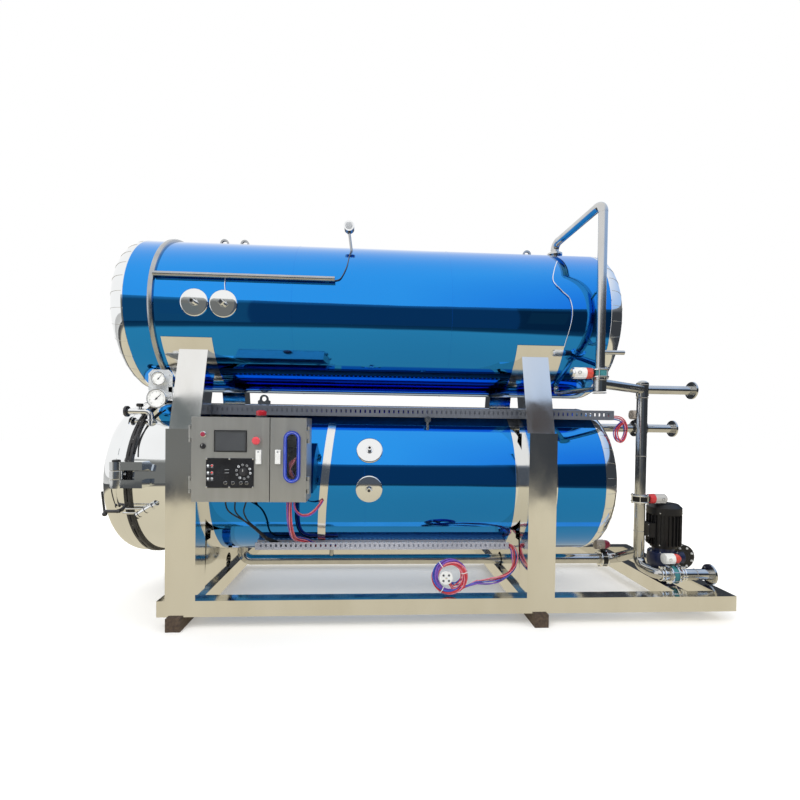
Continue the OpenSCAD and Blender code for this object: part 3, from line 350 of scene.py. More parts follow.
def even(pts, step):
    """The same line with points a step apart."""
    pts = [V(p) for p in pts]
    out, left = [pts[0]], step
    for a, b in zip(pts, pts[1:]):
        l = (b - a).length
        while l >= left:
            a = a + (b - a) * (left / l)
            out.append(a)
            l, left = l - left, step
        left -= l
    if (out[-1] - pts[-1]).length < step * 0.5:
        out.pop()
    return out + [pts[-1]]


def bent(pts, b, per=8):
    """The same line with its corners rounded by arcs of radius b."""
    pts = [V(p) for p in pts]
    out = [pts[0]]
    for a, c, d in zip(pts, pts[1:], pts[2:]):
        u, v = (a - c).normalized(), (d - c).normalized()
        half = u.angle(v) / 2
        mid = c + (u + v).normalized() * (b / sin(half))
        s, e = c + u * (b / math.tan(half)) - mid, c + v * (b / math.tan(half)) - mid
        turn = s.angle(e)
        out += [mid + (s * sin(turn * (1 - i / per)) + e * sin(turn * i / per)) / sin(turn)
            for i in range(per + 1)]
    return out + [pts[-1]]


def strand(name, pts, r, mat, stands_for=()):
    """One free cord as a curve of one open line."""
    cu = bpy.data.curves.new(name, "CURVE")
    cu.dimensions = "3D"
    cu.bevel_depth = r
    cu.bevel_resolution = 3
    cu.use_fill_caps = True
    sp = cu.splines.new("POLY")
    sp.points.add(len(pts) - 1)
    for q, p in zip(sp.points, pts):
        q.co = (*p, 1)
    sp.use_smooth = True
    cu.materials.append(mat)
    ob = bpy.data.objects.new(name, cu)
    scene.collection.objects.link(ob)
    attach(ob, "frame")
    if stands_for:
        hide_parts(*stands_for)


def dish(r, d, t=0.0):
    """Outline of a dished end from its rim to its pole, thinner by t."""
    c = 1.75 * r
    q = (c * c - r * r - (c - d) ** 2) / (2 * (c - r))
    a1 = math.atan2(c - d, r - q)
    pts = [((q - t) * sin(a1 * i / 14), r - q + (q - t) * cos(a1 * i / 14)) for i in range(15)]
    pts += [(d - c + (c - t) * sin(a1 + (pi / 2 - a1) * i / 28), (c - t) * cos(a1 + (pi / 2 - a1) * i / 28))
        for i in range(1, 28)]
    return pts + [(d - t, 0)]


# Main places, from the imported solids
lo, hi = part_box("main_jacket")
R, ZL, XN, XS = (hi[2] - lo[2]) / 2, (hi[2] + lo[2]) / 2, lo[0], hi[0]
XM, XE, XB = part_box("neck_jacket")[0][0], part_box("strap_jacket")[1][0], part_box("end_jacket")[1][0]
lo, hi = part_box("upper_shell")
XU0, XU1, ZU = lo[0], hi[0], (hi[2] + lo[2]) / 2
DISH = XU0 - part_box("upper_head_left")[0][0]
lo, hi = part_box("lock_ring")
RING_X, RING_R = lo[0], (hi[2] - lo[2]) / 2
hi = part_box("cabinet_box")[1]
CAB_TOP, CAB_BACK = hi[2], hi[1]
CAB_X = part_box("post_front_left")[1][0] + 0.035
CAB_W = 0.8
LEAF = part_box("cabinet_door_left")[0][1]
RAIL_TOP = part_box("front_rail")[1][2]


def on_shell(x, angle, z, lift=0.0):
    """A point on a vessel's front at an angle above the horizontal."""
    a = rad(angle)
    return V(x, -(R + lift) * cos(a), z + (R + lift) * sin(a))


# Cords: air tubes and cables
LEAD = [(-0.2, -0.464, 0.546), (-0.165, -0.468, 0.546), (-0.138, -0.495, 0.525), (-0.136, -0.545, 0.475),
    (-0.16, -0.6, 0.415), (-0.215, -0.645, 0.37), (-0.3, -0.68, 0.34), (-0.4, -0.702, 0.326),
    (-0.5, -0.712, 0.322)]
DROP = [(-1.935, -0.8, 0.99), (-1.935, -0.8, 0.9), (-1.935, -0.78, 0.82), (-1.935, -0.72, 0.74),
    (-1.932, -0.64, 0.67), (-1.92, -0.56, 0.63), (-1.895, -0.508, 0.612), (-1.85, -0.474, 0.59),
    (-1.785, -0.464, 0.556), (-1.7, -0.464, 0.546), (-1.605, -0.464, 0.546)]
CABLE = [(-2.325, -0.8, 0.99), (-2.325, -0.8, 0.9), (-2.275, -0.77, 0.83), (-2.215, -0.72, 0.76),
    (-2.178, -0.64, 0.69), (-2.165, -0.56, 0.64), (-2.15, -0.508, 0.61), (-2.11, -0.474, 0.585),
    (-2.05, -0.464, 0.555), (-1.99, -0.464, 0.542)]
HANK = [(0.685, -0.4, 1.6375), (0.755, -0.402, 1.6375), (0.815, -0.415, 1.622), (0.845, -0.43, 1.57),
    (0.85, -0.43, 1.51), (0.83, -0.43, 1.455), (0.8, -0.43, 1.44), (0.775, -0.43, 1.465),
    (0.765, -0.43, 1.52), (0.785, -0.44, 1.57), (0.805, -0.46, 1.6)]
LOOP = [(-1.9, -0.8, 0.99), (-1.9, -0.8, 0.945), (-1.885, -0.792, 0.895), (-1.845, -0.775, 0.862),
    (-1.795, -0.752, 0.862), (-1.752, -0.722, 0.892), (-1.722, -0.69, 0.93), (-1.706, -0.668, 0.955)]
COIL_R, HOLES = 0.118, 0.03
COIL = V(-0.705, -0.715, RAIL_TOP + 0.1503)
TUBE_R = 0.0045


def bundle(line, count, wide, twist=0.0, loose=0.0):
    """Lines round one line, turning slowly about it and fanning out between the ties."""
    run = carried(even(smooth(line, 10), 0.012))
    out = []
    for j in range(count):
        off = wide if j else 0.0
        pts = []
        for i, (p, a, b) in enumerate(run):
            along = i / (len(run) - 1)
            t = twist * along + 2 * pi * j / (count - 1)
            far = off * (1 + loose * sin(2 * pi * along) ** 2 * (0.6 + 0.4 * sin(1.9 * j)))
            pts.append(p + a * (far * cos(t)) + b * (far * sin(t)))
        out.append(pts)
    return out


# End plate of the coil: a white disc with four holes and a centre screw
plate = Piece("coil_end_plate", bevel=0.0012)
face = COIL + V(-0.035, -0.033, 0)
plate.spin(face, (0, 1, 0), [(0, 50), (3, 53), (13, 53), (16, 50)], WHITE, 48)
for a in around(4, pi / 4):
    spot = face + V(HOLES * cos(a), -0.0004, HOLES * sin(a))
    plate.spin(spot, FRONT, [(0, 8.5), (0.8, 8.5), (1, 7)], RUBBER, 20)
    plate.ring(spot, spot + FRONT * 0.002, 0.007, 0.01, GREY, 24, 0.0005)
plate.spin(face, FRONT, [(0, 9), (3, 9), (5, 6)], CHROME, 24)
end_plate = plate.done(slot="tube_plastic")

COIL_MATS = (TUBE_RED, TUBE_PINK, TUBE_RED, TUBE_PINK, TUBE_PURPLE, TUBE_PURPLE, TUBE_BLUE)
TURNS, PER_TURN, COUNT = 3.15, 30, len(COIL_MATS)
for j, run in enumerate(bundle(LEAD, COUNT, 0.0115, 2.2, 1.5)):
    spiral = []
    for i in range(4, int(TURNS * PER_TURN) + 1):
        along = i / (TURNS * PER_TURN)
        phi = rad(-60) + 2 * pi * TURNS * along
        slot = 2 * pi * j / COUNT + phi - rad(77)
        inward = max(0.0, (along - 0.86) / 0.14)
        off = 0.009 + 0.017 * along
        wide = COIL_R + off * cos(slot) + 0.003 * sin(2.3 * phi + j) - 0.05 * inward ** 2
        deep = (0.8 * off * sin(slot) + 0.003 * sin(1.7 * phi + 2 * j)) * (1 - 0.6 * inward)
        spiral.append(COIL + V(-wide * sin(phi), deep, -wide * cos(phi)))
    a = 2 * pi * j / COUNT
    hole = face + V(HOLES * cos(a), 0.018, HOLES * sin(a))
    pts = even(smooth(run + spiral[::3] + [hole], 5), 0.01)
    stem = Piece("tube_fitting_%d" % (j + 1), bevel=0.0004)
    w = (pts[-1] - pts[-3]).normalized()
    stem.ring(pts[-1] - w * 0.012, pts[-1] + w * 0.002, TUBE_R, 0.0075, GREY, 20, 0.0008)
    stem.torus(pts[-1] - w * 0.012, w, 0.0062, 0.0014, TUBE_BLUE, 20, 8)
    fitting = stem.done(slot="tube_plastic")
    strand("air_tube_%d" % (j + 1), pts, TUBE_R, COIL_MATS[j],
        () if j else ("hose_coil", "hose_lead"))


def strands(name, runs, r, mats, far_end, stiffness, *stands_for):
    for j, run in enumerate(runs):
        strand("%s_%d" % (name, j + 1), run, r, mats[j],
            () if j else stands_for)


DROP_MATS = (TUBE_RED, TUBE_PINK, TUBE_RED, TUBE_PINK, TUBE_PURPLE, TUBE_RED, TUBE_PINK, TUBE_BLUE)
LOOP_MATS = (TUBE_RED, TUBE_PURPLE, TUBE_PINK)
HANK_MATS = (TUBE_PURPLE, TUBE_RED, TUBE_PINK, TUBE_BLUE, TUBE_PURPLE, TUBE_RED)
cables = bundle(CABLE, 3, 0.009, 0.8)
for run, aside in zip(cables, (-0.075, 0.0, 0.075)):
    for i, p in enumerate(run[:22]):
        p.x += aside * (1 - i / 22) ** 2 * (1 + 2 * i / 22)
strands("drop_tube", bundle(DROP, 8, 0.0155, 1.4), TUBE_R, DROP_MATS, "object", "medium", "hose_drop")
strands("loop_tube", bundle(LOOP, 3, 0.008, 1.2), TUBE_R, LOOP_MATS, "object", "medium")
strands("cable", cables, 0.0055, [RUBBER] * 3, "object", "medium", "cables")
strands("hank_tube", bundle(HANK, 6, 0.012, 2.6, 0.6), TUBE_R, HANK_MATS, "bare", "limp", "hose_hank")

ties = Piece("cable_ties", bevel=0.0004)
TIES = (
    ((-0.138, -0.545, 0.475), (-0.1, -0.6, -0.75), 0.0165),
    ((-0.3, -0.68, 0.34), (-1, -0.3, -0.2), 0.0165),
    ((-1.935, -0.752, 0.778), (0, 0.6, -0.8), 0.0175),
    ((-2.172, -0.6, 0.665), (0.1, -0.8, 0.5), 0.0155),
    ((0.849, -0.43, 1.53), UP, 0.0165),
)
for at, way, big in TIES:
    at = V(at)
    s, t, w = axes(way)
    ties.ring(at - w * 0.002, at + w * 0.002, big - 0.0008, big + 0.0008, RUBBER, 24, 0.0003)
    knot = Matrix((s, t, w)).transposed()
    ties.box((-0.004, -0.003, -0.003), (0.004, 0.003, 0.003), RUBBER, knot, at + s * big)
for a in (0.6, 2.5, 4.4):
    p = COIL + V(-COIL_R * sin(a), 0, -COIL_R * cos(a))
    t = V(-cos(a), 0, sin(a))
    ties.ring(p - t * 0.003, p + t * 0.003, 0.0285, 0.03, WHITE, 28, 0.0004)
ties.done(slot="cable_black")


# Vessels: mirror sheet, polished ends, band
SHEET, BORE = 0.012, 0.595


def shell(name, node, x0, x1, z, mat, seams=()):
    p = Piece(name)
    prof = [(0, R - SHEET), (0, R - 0.001), (0.001, R)]
    for s in seams:
        h = s - x0
        prof += [(h - 0.006, R), (h - 0.0055, R + 0.0012), (h + 0.0055, R + 0.0012), (h + 0.006, R)]
    prof += [(x1 - x0 - 0.001, R), (x1 - x0, R - 0.001), (x1 - x0, R - SHEET)]
    p.lathe((x0, 0, z), LONG, prof, mat, 256, True)
    p.done(node)


shell("upper_sheet", "upper_shell", XU0, XU1, ZU, BLUE, (-1.966, -0.7))
shell("neck_sheet", "neck_jacket", XM, XN, ZL, STEEL)
shell("main_sheet", "main_jacket", XN, XS, ZL, BLUE, (-1.376,))
shell("strap_sheet", "strap_jacket", XS, XE, ZL, STEEL)
shell("end_sheet", "end_jacket", XE, XB, ZL, BLUE)


def head(name, node, x, z, way, gores=32):
    p = Piece(name)
    prof = dish(R, DISH)
    p.lathe((x, 0, z), (way, 0, 0), [(0, R - SHEET)] + prof, STEEL, 256)
    u, v, w = axes((way, 0, 0))
    for a in around(gores, pi / gores):
        d = u * cos(a) + v * sin(a)
        line = [V(x, 0, z) + w * (h + 0.0004) + d * (r + 0.0004) for h, r in prof if r > 0.16]
        p.tube(line, 0.0014, WELD, 6)
    mid = [(h + 0.0015, r) for h, r in prof if r <= 0.17]
    p.lathe((x, 0, z), (way, 0, 0), [(mid[0][0] - 0.003, mid[0][1] + 0.002)] + mid, STEEL, 96)
    p.done(node)


head("upper_end_left", "upper_head_left", XU0, ZU, -1)
head("upper_end_right", "upper_head_right", XU1, ZU, 1)
head("lower_end", "lower_head", XB, ZL, 1)

band = Piece("band_polished")
band.lathe((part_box("band_ring")[0][0], 0, ZU), LONG, [(0, R - 0.001), (0, R + 0.01), (0.003, R + 0.017),
    (0.01, R + 0.02), (0.03, R + 0.02), (0.037, R + 0.017), (0.04, R + 0.01), (0.04, R - 0.001)], SATIN,
    256, True)
band.done("band_ring")

beads = Piece("sheet_edges")
LAP, HEM = (0.01, 0.001, 0.0016), (0.014, 0.002, 0.002)
for x, z, (wide, edge, lift) in ((XN, ZL, LAP), (XS, ZL, LAP), (XE, ZL, LAP), (XU0, ZU, HEM),
        (XU1, ZU, HEM), (XB, ZL, HEM)):
    prof = [(0, R - 0.001), (edge, R + lift), (wide - edge, R + lift), (wide, R - 0.001)]
    beads.lathe((x - wide / 2, 0, z), LONG, prof, STEEL, 192, True)
beads.done(slot="steel_vessel")

# Lock ring with its wedge blocks
lock = Piece("lock_ring_teeth", bevel=0.001)
w = XM - RING_X
lock.lathe((RING_X, 0, ZL), LONG, [(0, BORE), (0, RING_R - 0.003), (0.003, RING_R), (w * 0.4, RING_R),
    (w * 0.4, RING_R - 0.008), (w * 0.6, RING_R - 0.008), (w * 0.6, RING_R), (w - 0.003, RING_R),
    (w, RING_R - 0.003), (w, BORE)], RING, 192, True)
for a in around(24):
    rot = Matrix.Rotation(a, 3, "X")
    lock.box((w * 0.1, -0.035, RING_R - 0.0085), (w * 0.9, 0.035, RING_R - 0.0012), RING, rot,
        (RING_X, 0, ZL))
    at = V(RING_X + w * 0.5, 0, ZL) + rot @ V(0, 0, RING_R - 0.0045)
    lock.bolt(at, rot @ UP, 0.0035, CHROME, 0.002)
lock.done("lock_ring")

# Domed door with its flange, seal and hinge arm
FX, FR, DOOR_DISH, FLANGE = RING_X - 0.005, 0.66, 0.293, 0.06
door = Piece("door_dome", "vessel_door")
outer, inner = ([(FLANGE + h, r) for h, r in dish(FR, DOOR_DISH, t)] for t in (0.0, SHEET))
door.lathe((FX, 0, ZL), -LONG, [(0, BORE), (0, FR - 0.003), (0.003, FR), (0.054, FR),
    (0.057, FR - 0.0015)] + outer, STEEL, 256)
door.lathe((FX, 0, ZL), -LONG, [(0.0002, BORE + 0.0005), (0.058, BORE + 0.0005), (FLANGE, 0.64)] + inner,
    STEEL, 192)
door.torus((FX, 0, ZL), LONG, 0.622, 0.0035, WHITE, 160, 10)
door.done("door")
arm = Piece("door_arm", "vessel_door", 0.003)
hx, hy, hz = -3.2225, -0.723, 1.151
KNUCKLE = 0.031
arm.box((FX - 0.055, hy + 0.03, hz - KNUCKLE), (FX - 0.005, -FR + 0.03, hz + KNUCKLE), STEEL)
arm.ring((hx, hy, hz - KNUCKLE), (hx, hy, hz + KNUCKLE), 0.0165, 0.045, STEEL, 48, 0.002)
arm.box((FX - 0.053, -FR - 0.012, hz - 0.06), (FX - 0.007, -FR + 0.05, hz + 0.06), STEEL)
arm.bolts((FX - 0.03, -FR - 0.012, hz), FRONT, 0.044, 2, 0.007, CHROME)
arm.done("door", slot="steel_vessel")


# Dial gauges on their chamfered plate
def dial(p, at, r, turn):
    """A round gauge that faces the front: case, bezel, white dial, marks and needle."""
    at = V(at)
    p.lathe(at, FRONT, [(0, r * 0.92), (0.026, r * 0.92), (0.026, r - 0.002), (0.028, r), (0.04, r),
        (0.042, r - 0.002), (0.042, r - 0.006), (0.035, r - 0.008), (0.035, 0)], CHROME, 64)
    p.lathe(at + FRONT * 0.0351, FRONT, [(0, r - 0.009), (0.0006, r - 0.009)], DIAL, 64)
    for i in range(41):
        a = rad(225 - 6.75 * i)
        long = i % 5 == 0
        near, half = (0.62, 0.014) if long else (0.7, 0.008)
        p.prism([(r * near, -r * half), (r * 0.78, -r * half), (r * 0.78, r * half), (r * near, r * half)],
            at + FRONT * 0.0357, V(cos(a), 0, sin(a)), V(-sin(a), 0, cos(a)), 0.0004, MARK)
    a = rad(turn)
    p.prism([(-0.2 * r, -0.05 * r), (0.66 * r, -0.012 * r), (0.66 * r, 0.012 * r), (-0.2 * r, 0.05 * r)],
        at + FRONT * 0.0365, V(cos(a), 0, sin(a)), V(-sin(a), 0, cos(a)), 0.0012, MARK)
    p.lathe(at + FRONT * 0.0365, FRONT, [(0, 0.09 * r), (0.003, 0.09 * r), (0.004, 0.06 * r)], MARK, 24)


lo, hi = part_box("gauge_plate")
corner = V(lo[0], lo[1] + 0.042, hi[2] - 0.232)
gauges = Piece("gauge_plate_dials", bevel=0.0008)
gauges.prism([(0, 0), (0.18, 0), (0.18, 0.2), (0.15, 0.232), (0.03, 0.232), (0, 0.2)],
    corner + V(0, 0.008, 0), LONG, UP, 0.008, PLATE)
gauges.box((0.15, 0.0, 0.06), (0.205, 0.06, 0.1), PLATE, None, corner)
dial(gauges, corner + V(0.092, 0, 0.16), 0.054, 50)
dial(gauges, corner + V(0.078, 0, 0.008), 0.074, 45)
for x, z in ((0.02, 0.19), (0.16, 0.19), (0.165, 0.02)):
    gauges.bolt(corner + V(x, 0, z), FRONT, 0.005, CHROME)
gauges.done("gauge_plate")

# Polished vent elbow with its dark flange and a needle valve
lo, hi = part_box("vent_elbow")
y, base = (lo[1] + hi[1]) / 2, hi[2] - 0.15
elbow = Piece("vent_elbow_pipe", bevel=0.0008)


def by_vent(x, z):
    return V(XM + x, y, base + z)


line = bent([by_vent(0.045, -0.03), by_vent(0.045, 0.085), by_vent(-0.13, 0.085)], 0.04)
elbow.tube(line, 0.024, CHROME, 24)
elbow.ring(by_vent(0.045, 0.012), by_vent(0.045, 0.024), 0.0235, 0.036, CHROME, 32)
elbow.ring(by_vent(-0.13, 0.085), by_vent(-0.15, 0.085), 0.012, 0.044, DARK, 40, 0.002)
elbow.bolts(by_vent(-0.15, 0.085), (-1, 0, 0), 0.034, 4, 0.005, CHROME, pi / 4)
elbow.torus(by_vent(-0.128, 0.085), LONG, 0.026, 0.004, DARK)
elbow.cyl(by_vent(-0.04, 0.085), by_vent(-0.04, 0.132), 0.014, CHROME, 24, 0.002)
elbow.spin(by_vent(-0.04, 0.122), UP, [(0, 12), (4, 26), (22, 28), (28, 20)], RUBBER, 8)
elbow.done("vent_elbow")

# Trim of the door: cap on the hinge, interlock cylinder, wires on the neck
trim = Piece("door_trim", bevel=0.0006)
cap_at = (hx, hy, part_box("door_hardware")[1][2] - 0.0145)
trim.spin(cap_at, UP, [(0, 28.5), (12, 28.5), (15.2, 24)], RUBBER, 40)
for z in (hz - KNUCKLE - 0.005, hz + KNUCKLE):
    trim.ring((hx, hy, z), (hx, hy, z + 0.005), 0.016, 0.04, WELD, 40, 0.0008)
drop = 0.315 * R
start = V(XM + 0.045, -math.sqrt(R * R - drop * drop) - 0.042, ZL - drop - 0.04)
way = V(0.12, 0, 0.075)
for t, l, m in ((-0.02, 0.012, RUBBER), (0.16, 0.006, DARK), (0.56, 0.006, DARK), (0.93, 0.01, CHROME)):
    trim.ring(start + way * t, start + way * t + way.normalized() * l, 0.01, 0.0262, m, 32)
trim.bolt(start + way * 1.02, way, 0.009, CHROME)
for line in (((-3.085, 60), (-3.105, 52), (-3.118, 44), (-3.128, 36), (-3.132, 26), (-3.12, 18)),
        ((-3.06, 62), (-3.092, 51), (-3.114, 43), (-3.138, 32), (-3.15, 20))):
    trim.tube(smooth([on_shell(x, a, ZL, 0.0045) for x, a in line], 6), 0.0035, RUBBER, 8)
clip = on_shell(-3.117, 43.5, ZL, 0.004)
trim.ball(clip, 0.012, CHROME)
trim.done(slot="steel_vessel")


# Polished covers that follow the sheet, with their nozzles
COVER_R = 0.104


def cover(p, x, z, angle, square):
    a = rad(angle)
    w = V(0, -cos(a), sin(a))
    tall = V(0, sin(a), cos(a))
    at = V(x, 0, z) + w * R
    first = len(p.v)
    p.lathe(at, w, [(-0.004, 0.1), (0.002, COVER_R), (0.01, COVER_R), (0.0125, 0.1015), (0.0135, 0.098)]
        + [(0.014, 0.094 - 0.012 * i) for i in range(7)], STEEL, 96)
    for i in range(first, len(p.v)):
        q = V(p.v[i]) - at
        lift, turn = R + q.dot(w), a + q.dot(tall) / R
        p.v[i] = (x + q.x, -lift * cos(turn), z + lift * sin(turn))
    p.ring(at + w * 0.01, at + w * 0.019, 0.012, 0.028, CHROME, 40)
    p.ring(at + w * 0.01, at + w * 0.06, 0.011, 0.019, CHROME, 32)
    p.spin(at + w * 0.05, w, [(0, 11.2), (1, 11.2)], RUBBER, 24)
    if square:
        p.spin(at + w * 0.052, w, [(0, 26), (16, 26), (18, 23)], CHROME, 4)
        p.spin(at + w * 0.0702, w, [(0, 12), (1, 12)], DARK, 24)


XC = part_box("cover_plates")
UP_1 = XC[0][0] + COVER_R
UP_2, LOW = UP_1 + 0.218, XC[1][0] - COVER_R
covers = Piece("cover_domes")
cover(covers, UP_1, ZU, -1, False)
cover(covers, UP_2, ZU, -1.4, True)
cover(covers, LOW, ZL, 24.4, False)
cover(covers, LOW, ZL, -2.8, True)
covers.done("cover_plates")

# Conduit ends, probe heads and the thin leads clipped to the sheet
sensor = Piece("probe_heads", bevel=0.0006)
head_at = V(XU0 + 0.322 + 0.358 * (XU1 - XU0), -0.594 * R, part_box("conduit")[1][2] - 0.043)
sensor.ring(head_at + FRONT * 0.031, head_at + FRONT * 0.034, 0.03, 0.0435, CHROME, 48)
sensor.spin(head_at + FRONT * 0.03, FRONT, [(0, 34), (3, 34), (4, 30)], GREY, 48)
sensor.bolts(head_at + FRONT * 0.0305, FRONT, 0.037, 4, 0.0025, CHROME, pi / 4)
sensor.cyl(head_at + V(0.003, 0, -0.052), head_at + V(0.0, 0, -0.038), 0.018, DARK, 6)
probe = head_at.x
LEADS = (
    (CHROME, ((UP_2 + 0.012, 2.5), (UP_2 + 0.014, 6), (UP_2 + 0.006, 11), (UP_2 + 0.004, 16))),
    (DARK, ((probe - 0.09, 17.2), (probe - 0.045, 19.5), (probe - 0.004, 30), (probe + 0.012, 45),
        (probe + 0.02, 52.5))),
    (CHROME, ((0.209, 46), (0.15, 34), (0.12, 23), (0.18, 15), (0.243, 8.4), (0.26, -4.3), (0.224, -24.7))),
)
for mat, line in LEADS:
    sensor.tube(smooth([on_shell(x, a, ZU, 0.006) for x, a in line], 8), 0.004, mat, 8)
sensor.done(slot="cover_steel")


# Pneumatic butterfly valves
CLAMP, HEAD_END = 0.032, 0.0806


def wafer(p, at, axis, neck, r, mat):
    """A wafer body between two clamp flanges, with tie rods round it and a neck."""
    w, n = V(axis), V(neck)
    p.ring(at - w * 0.024, at + w * 0.024, r, r + 0.024, mat, 48, 0.004)
    for s in (-1, 1):
        p.ring(at + w * 0.022 * s, at + w * 0.034 * s, r, r + 0.031, CHROME, 48, 0.002)
        p.torus(at + w * 0.036 * s, w, r + 0.002, 0.004, WELD, 40, 8)
    u, v, w = axes(w)
    for a in around(6, pi / 6):
        spot = at + (u * cos(a) + v * sin(a)) * (r + 0.0275)
        p.cyl(spot - w * 0.044, spot + w * 0.044, 0.0042, CHROME, 10)
        for s in (-1, 1):
            p.spin(spot + w * 0.034 * s, w * s, [(0, 7.5), (6, 7.5), (7, 6)], CHROME, 6)
    p.cyl(at + n * (r + 0.008), at + n * (r + 0.036), 0.018, mat, 28, 0.002)


def port(p, at):
    p.ring(at - FRONT * 0.004, at + FRONT * 0.003, 0.0095, 0.014, CHROME, 28)
    p.spin(at - FRONT * 0.003, FRONT, [(0, 9.6), (2, 9.6)], RUBBER, 24)


def actuator(p, at, w, cap, body, end):
    """A round pneumatic head: a ribbed coloured cap and a pale body with its air port."""
    p.spin(at, w, [(0, 34), (4, 40.5), (10, 40.5), (14, 42.5), (50, 44.8), (53, 43)], cap, 40)
    p.spin(at + w * 0.0525, w, [(0, 43), (2, 45), (94, 45), (97, 44)], body, 40)
    p.spin(at + w * 0.149, w, [(0, 43.5), (2, 44), (10, 37), (15, 31.5), (15, 0)], end, 40)
    port(p, at + w * 0.115 + FRONT * 0.0445)
    u, v, w = axes(w)
    for a in around(4, pi / 4):
        rib = at + (u * cos(a) + v * sin(a)) * 0.0438
        p.cyl(rib + w * 0.055, rib + w * 0.147, 0.0042, body, 10)


def inline_valve(node, neck, r, mat, cap, body, end):
    lo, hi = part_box(node)
    n = V(neck, 0, 0)
    x = hi[0] - r - CLAMP if neck < 0 else lo[0] + r + CLAMP
    at = V(x, (lo[1] + hi[1]) / 2, (lo[2] + hi[2]) / 2)
    p = Piece(node + "_assembly", bevel=0.0008)
    wafer(p, at, UP, n, r, mat)
    p.box((-0.02, -0.03, -0.024), (0.02, 0.03, 0.024), DARK, None, at + n * (r + 0.026))
    actuator(p, at + n * (r + CLAMP), n, cap, body, end)
    p.done(node)
    return V(at.x, at.y, 0)


def cross_valve(node, r, mat, cap, body):
    lo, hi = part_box(node)
    at = V(lo[0] + HEAD_END, (lo[1] + hi[1]) / 2, lo[2] + r + CLAMP)
    p = Piece(node + "_assembly", bevel=0.0008)
    wafer(p, at, LONG, UP, r, mat)
    top = at + V(0, 0, r + 0.091)
    p.cyl(at + V(0, 0, r + 0.024), top, 0.017, mat, 28)
    p.box((-0.03, -0.026, 0), (0.03, 0.026, 0.006), DARK, None, at + V(0, 0, r + 0.04))
    p.lathe(top, LONG, [(-HEAD_END, 0.0), (-HEAD_END, 0.036), (-0.077, 0.0445), (0.002, 0.045),
        (0.0052, 0.042)], body, 40)
    p.spin(top, LONG, [(4.5, 34), (6.5, 41.8), (12, 41.8), (14, 40), (40, 39.5), (56, 30), (63.2, 22.5),
        (63.2, 0)], cap, 40)
    for a in around(4, pi / 4):
        rib = top + V(0, 0.0438 * cos(a), 0.0438 * sin(a))
        p.cyl(rib + V(-0.078, 0, 0), rib + V(0.004, 0, 0), 0.004, body, 10)
    port(p, top + V(-0.045, -0.0445, 0))
    p.done(node)
    return at


riser = inline_valve("riser_valve", -1, 0.035, TEAL, DOME, WHITE, CHROME)
down = inline_valve("down_valve", 1, 0.045, MOTOR, RED, SILVER, SILVER)
steam = cross_valve("steam_valve", 0.038, MOTOR, MAUVE, BEIGE)
cross_valve("drain_valve", 0.045, MOTOR, CRIMSON, BEIGE)
foot_line = cross_valve("foot_valve", 0.045, TEAL, DOME, WHITE)

# Pump casing with its bolted round flange, and the trim of the motor
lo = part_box("pump_body")[0]
foot = V(lo[0] + 0.16, lo[1] + 0.16, RAIL_TOP)
pump = Piece("pump_casing", bevel=0.0012)
pump.spin(foot, UP, [(0, 158), (2, 160), (26, 160), (30, 154), (34, 100), (66, 93.6), (70, 126), (76, 130),
    (125, 134), (192, 130), (200, 124), (204, 93.6), (240, 93.6)], NAVY, 72)
pump.bolts(foot + UP * 0.027, UP, 0.138, 6, 0.008, CHROME, pi / 6)
pump.bolts(foot + UP * 0.199, UP, 0.112, 8, 0.006, CHROME)
pump.cyl(foot + V(0.1, 0, 0.1392), foot + V(0.1794, 0, 0.1392), 0.06, NAVY, 40, 0.003)
inlet = foot + V(0.1794, -0.02, 0.144)
pump.spin(inlet, FRONT, [(-70, 98), (-66, 112), (-4, 112), (0, 108), (0, 60), (5, 54), (5, 0)], MOTOR, 64)
pump.bolts(inlet, FRONT, 0.088, 8, 0.0075, WHITE, pi / 8)
pump.done("pump_body")

lo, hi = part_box("pump_motor")
axis_at = V((lo[0] + hi[0]) / 2, (lo[1] + hi[1]) / 2, 0)
motor = Piece("motor_trim", bevel=0.002)
side = axis_at + V(-0.155, -0.02, lo[2] + 0.165)
motor.box((-0.022, -0.055, -0.065), (0.03, 0.055, 0.065), MOTOR, None, side)
motor.box((-0.028, -0.05, -0.06), (-0.021, 0.05, 0.06), RUBBER, None, side)
motor.cyl(side + UP * -0.064, side + UP * -0.092, 0.014, RUBBER, 20, 0.002)
for i in range(4):
    motor.bolt(side + V(-0.028, 0.042 * (-1) ** i, 0.052 * (-1) ** (i // 2)), (-1, 0, 0), 0.0035, CHROME)
for i in range(1, 8):
    motor.torus(axis_at + V(0, 0, hi[2] + 0.0004), UP, 0.013 * i, 0.0016, RUBBER, 40, 6)
motor.spin(axis_at + V(0, 0, hi[2] - 0.002), UP, [(0, 12), (4, 12), (6, 9)], MOTOR, 24)
for z in (lo[2] + 0.022, hi[2] - 0.088):
    for a in around(4, pi / 4):
        motor.bolt(axis_at + V(0.1445 * cos(a), 0.1445 * sin(a), z + 0.014), (cos(a), sin(a), 0), 0.004,
            CHROME)
motor.done(slot="motor_black")

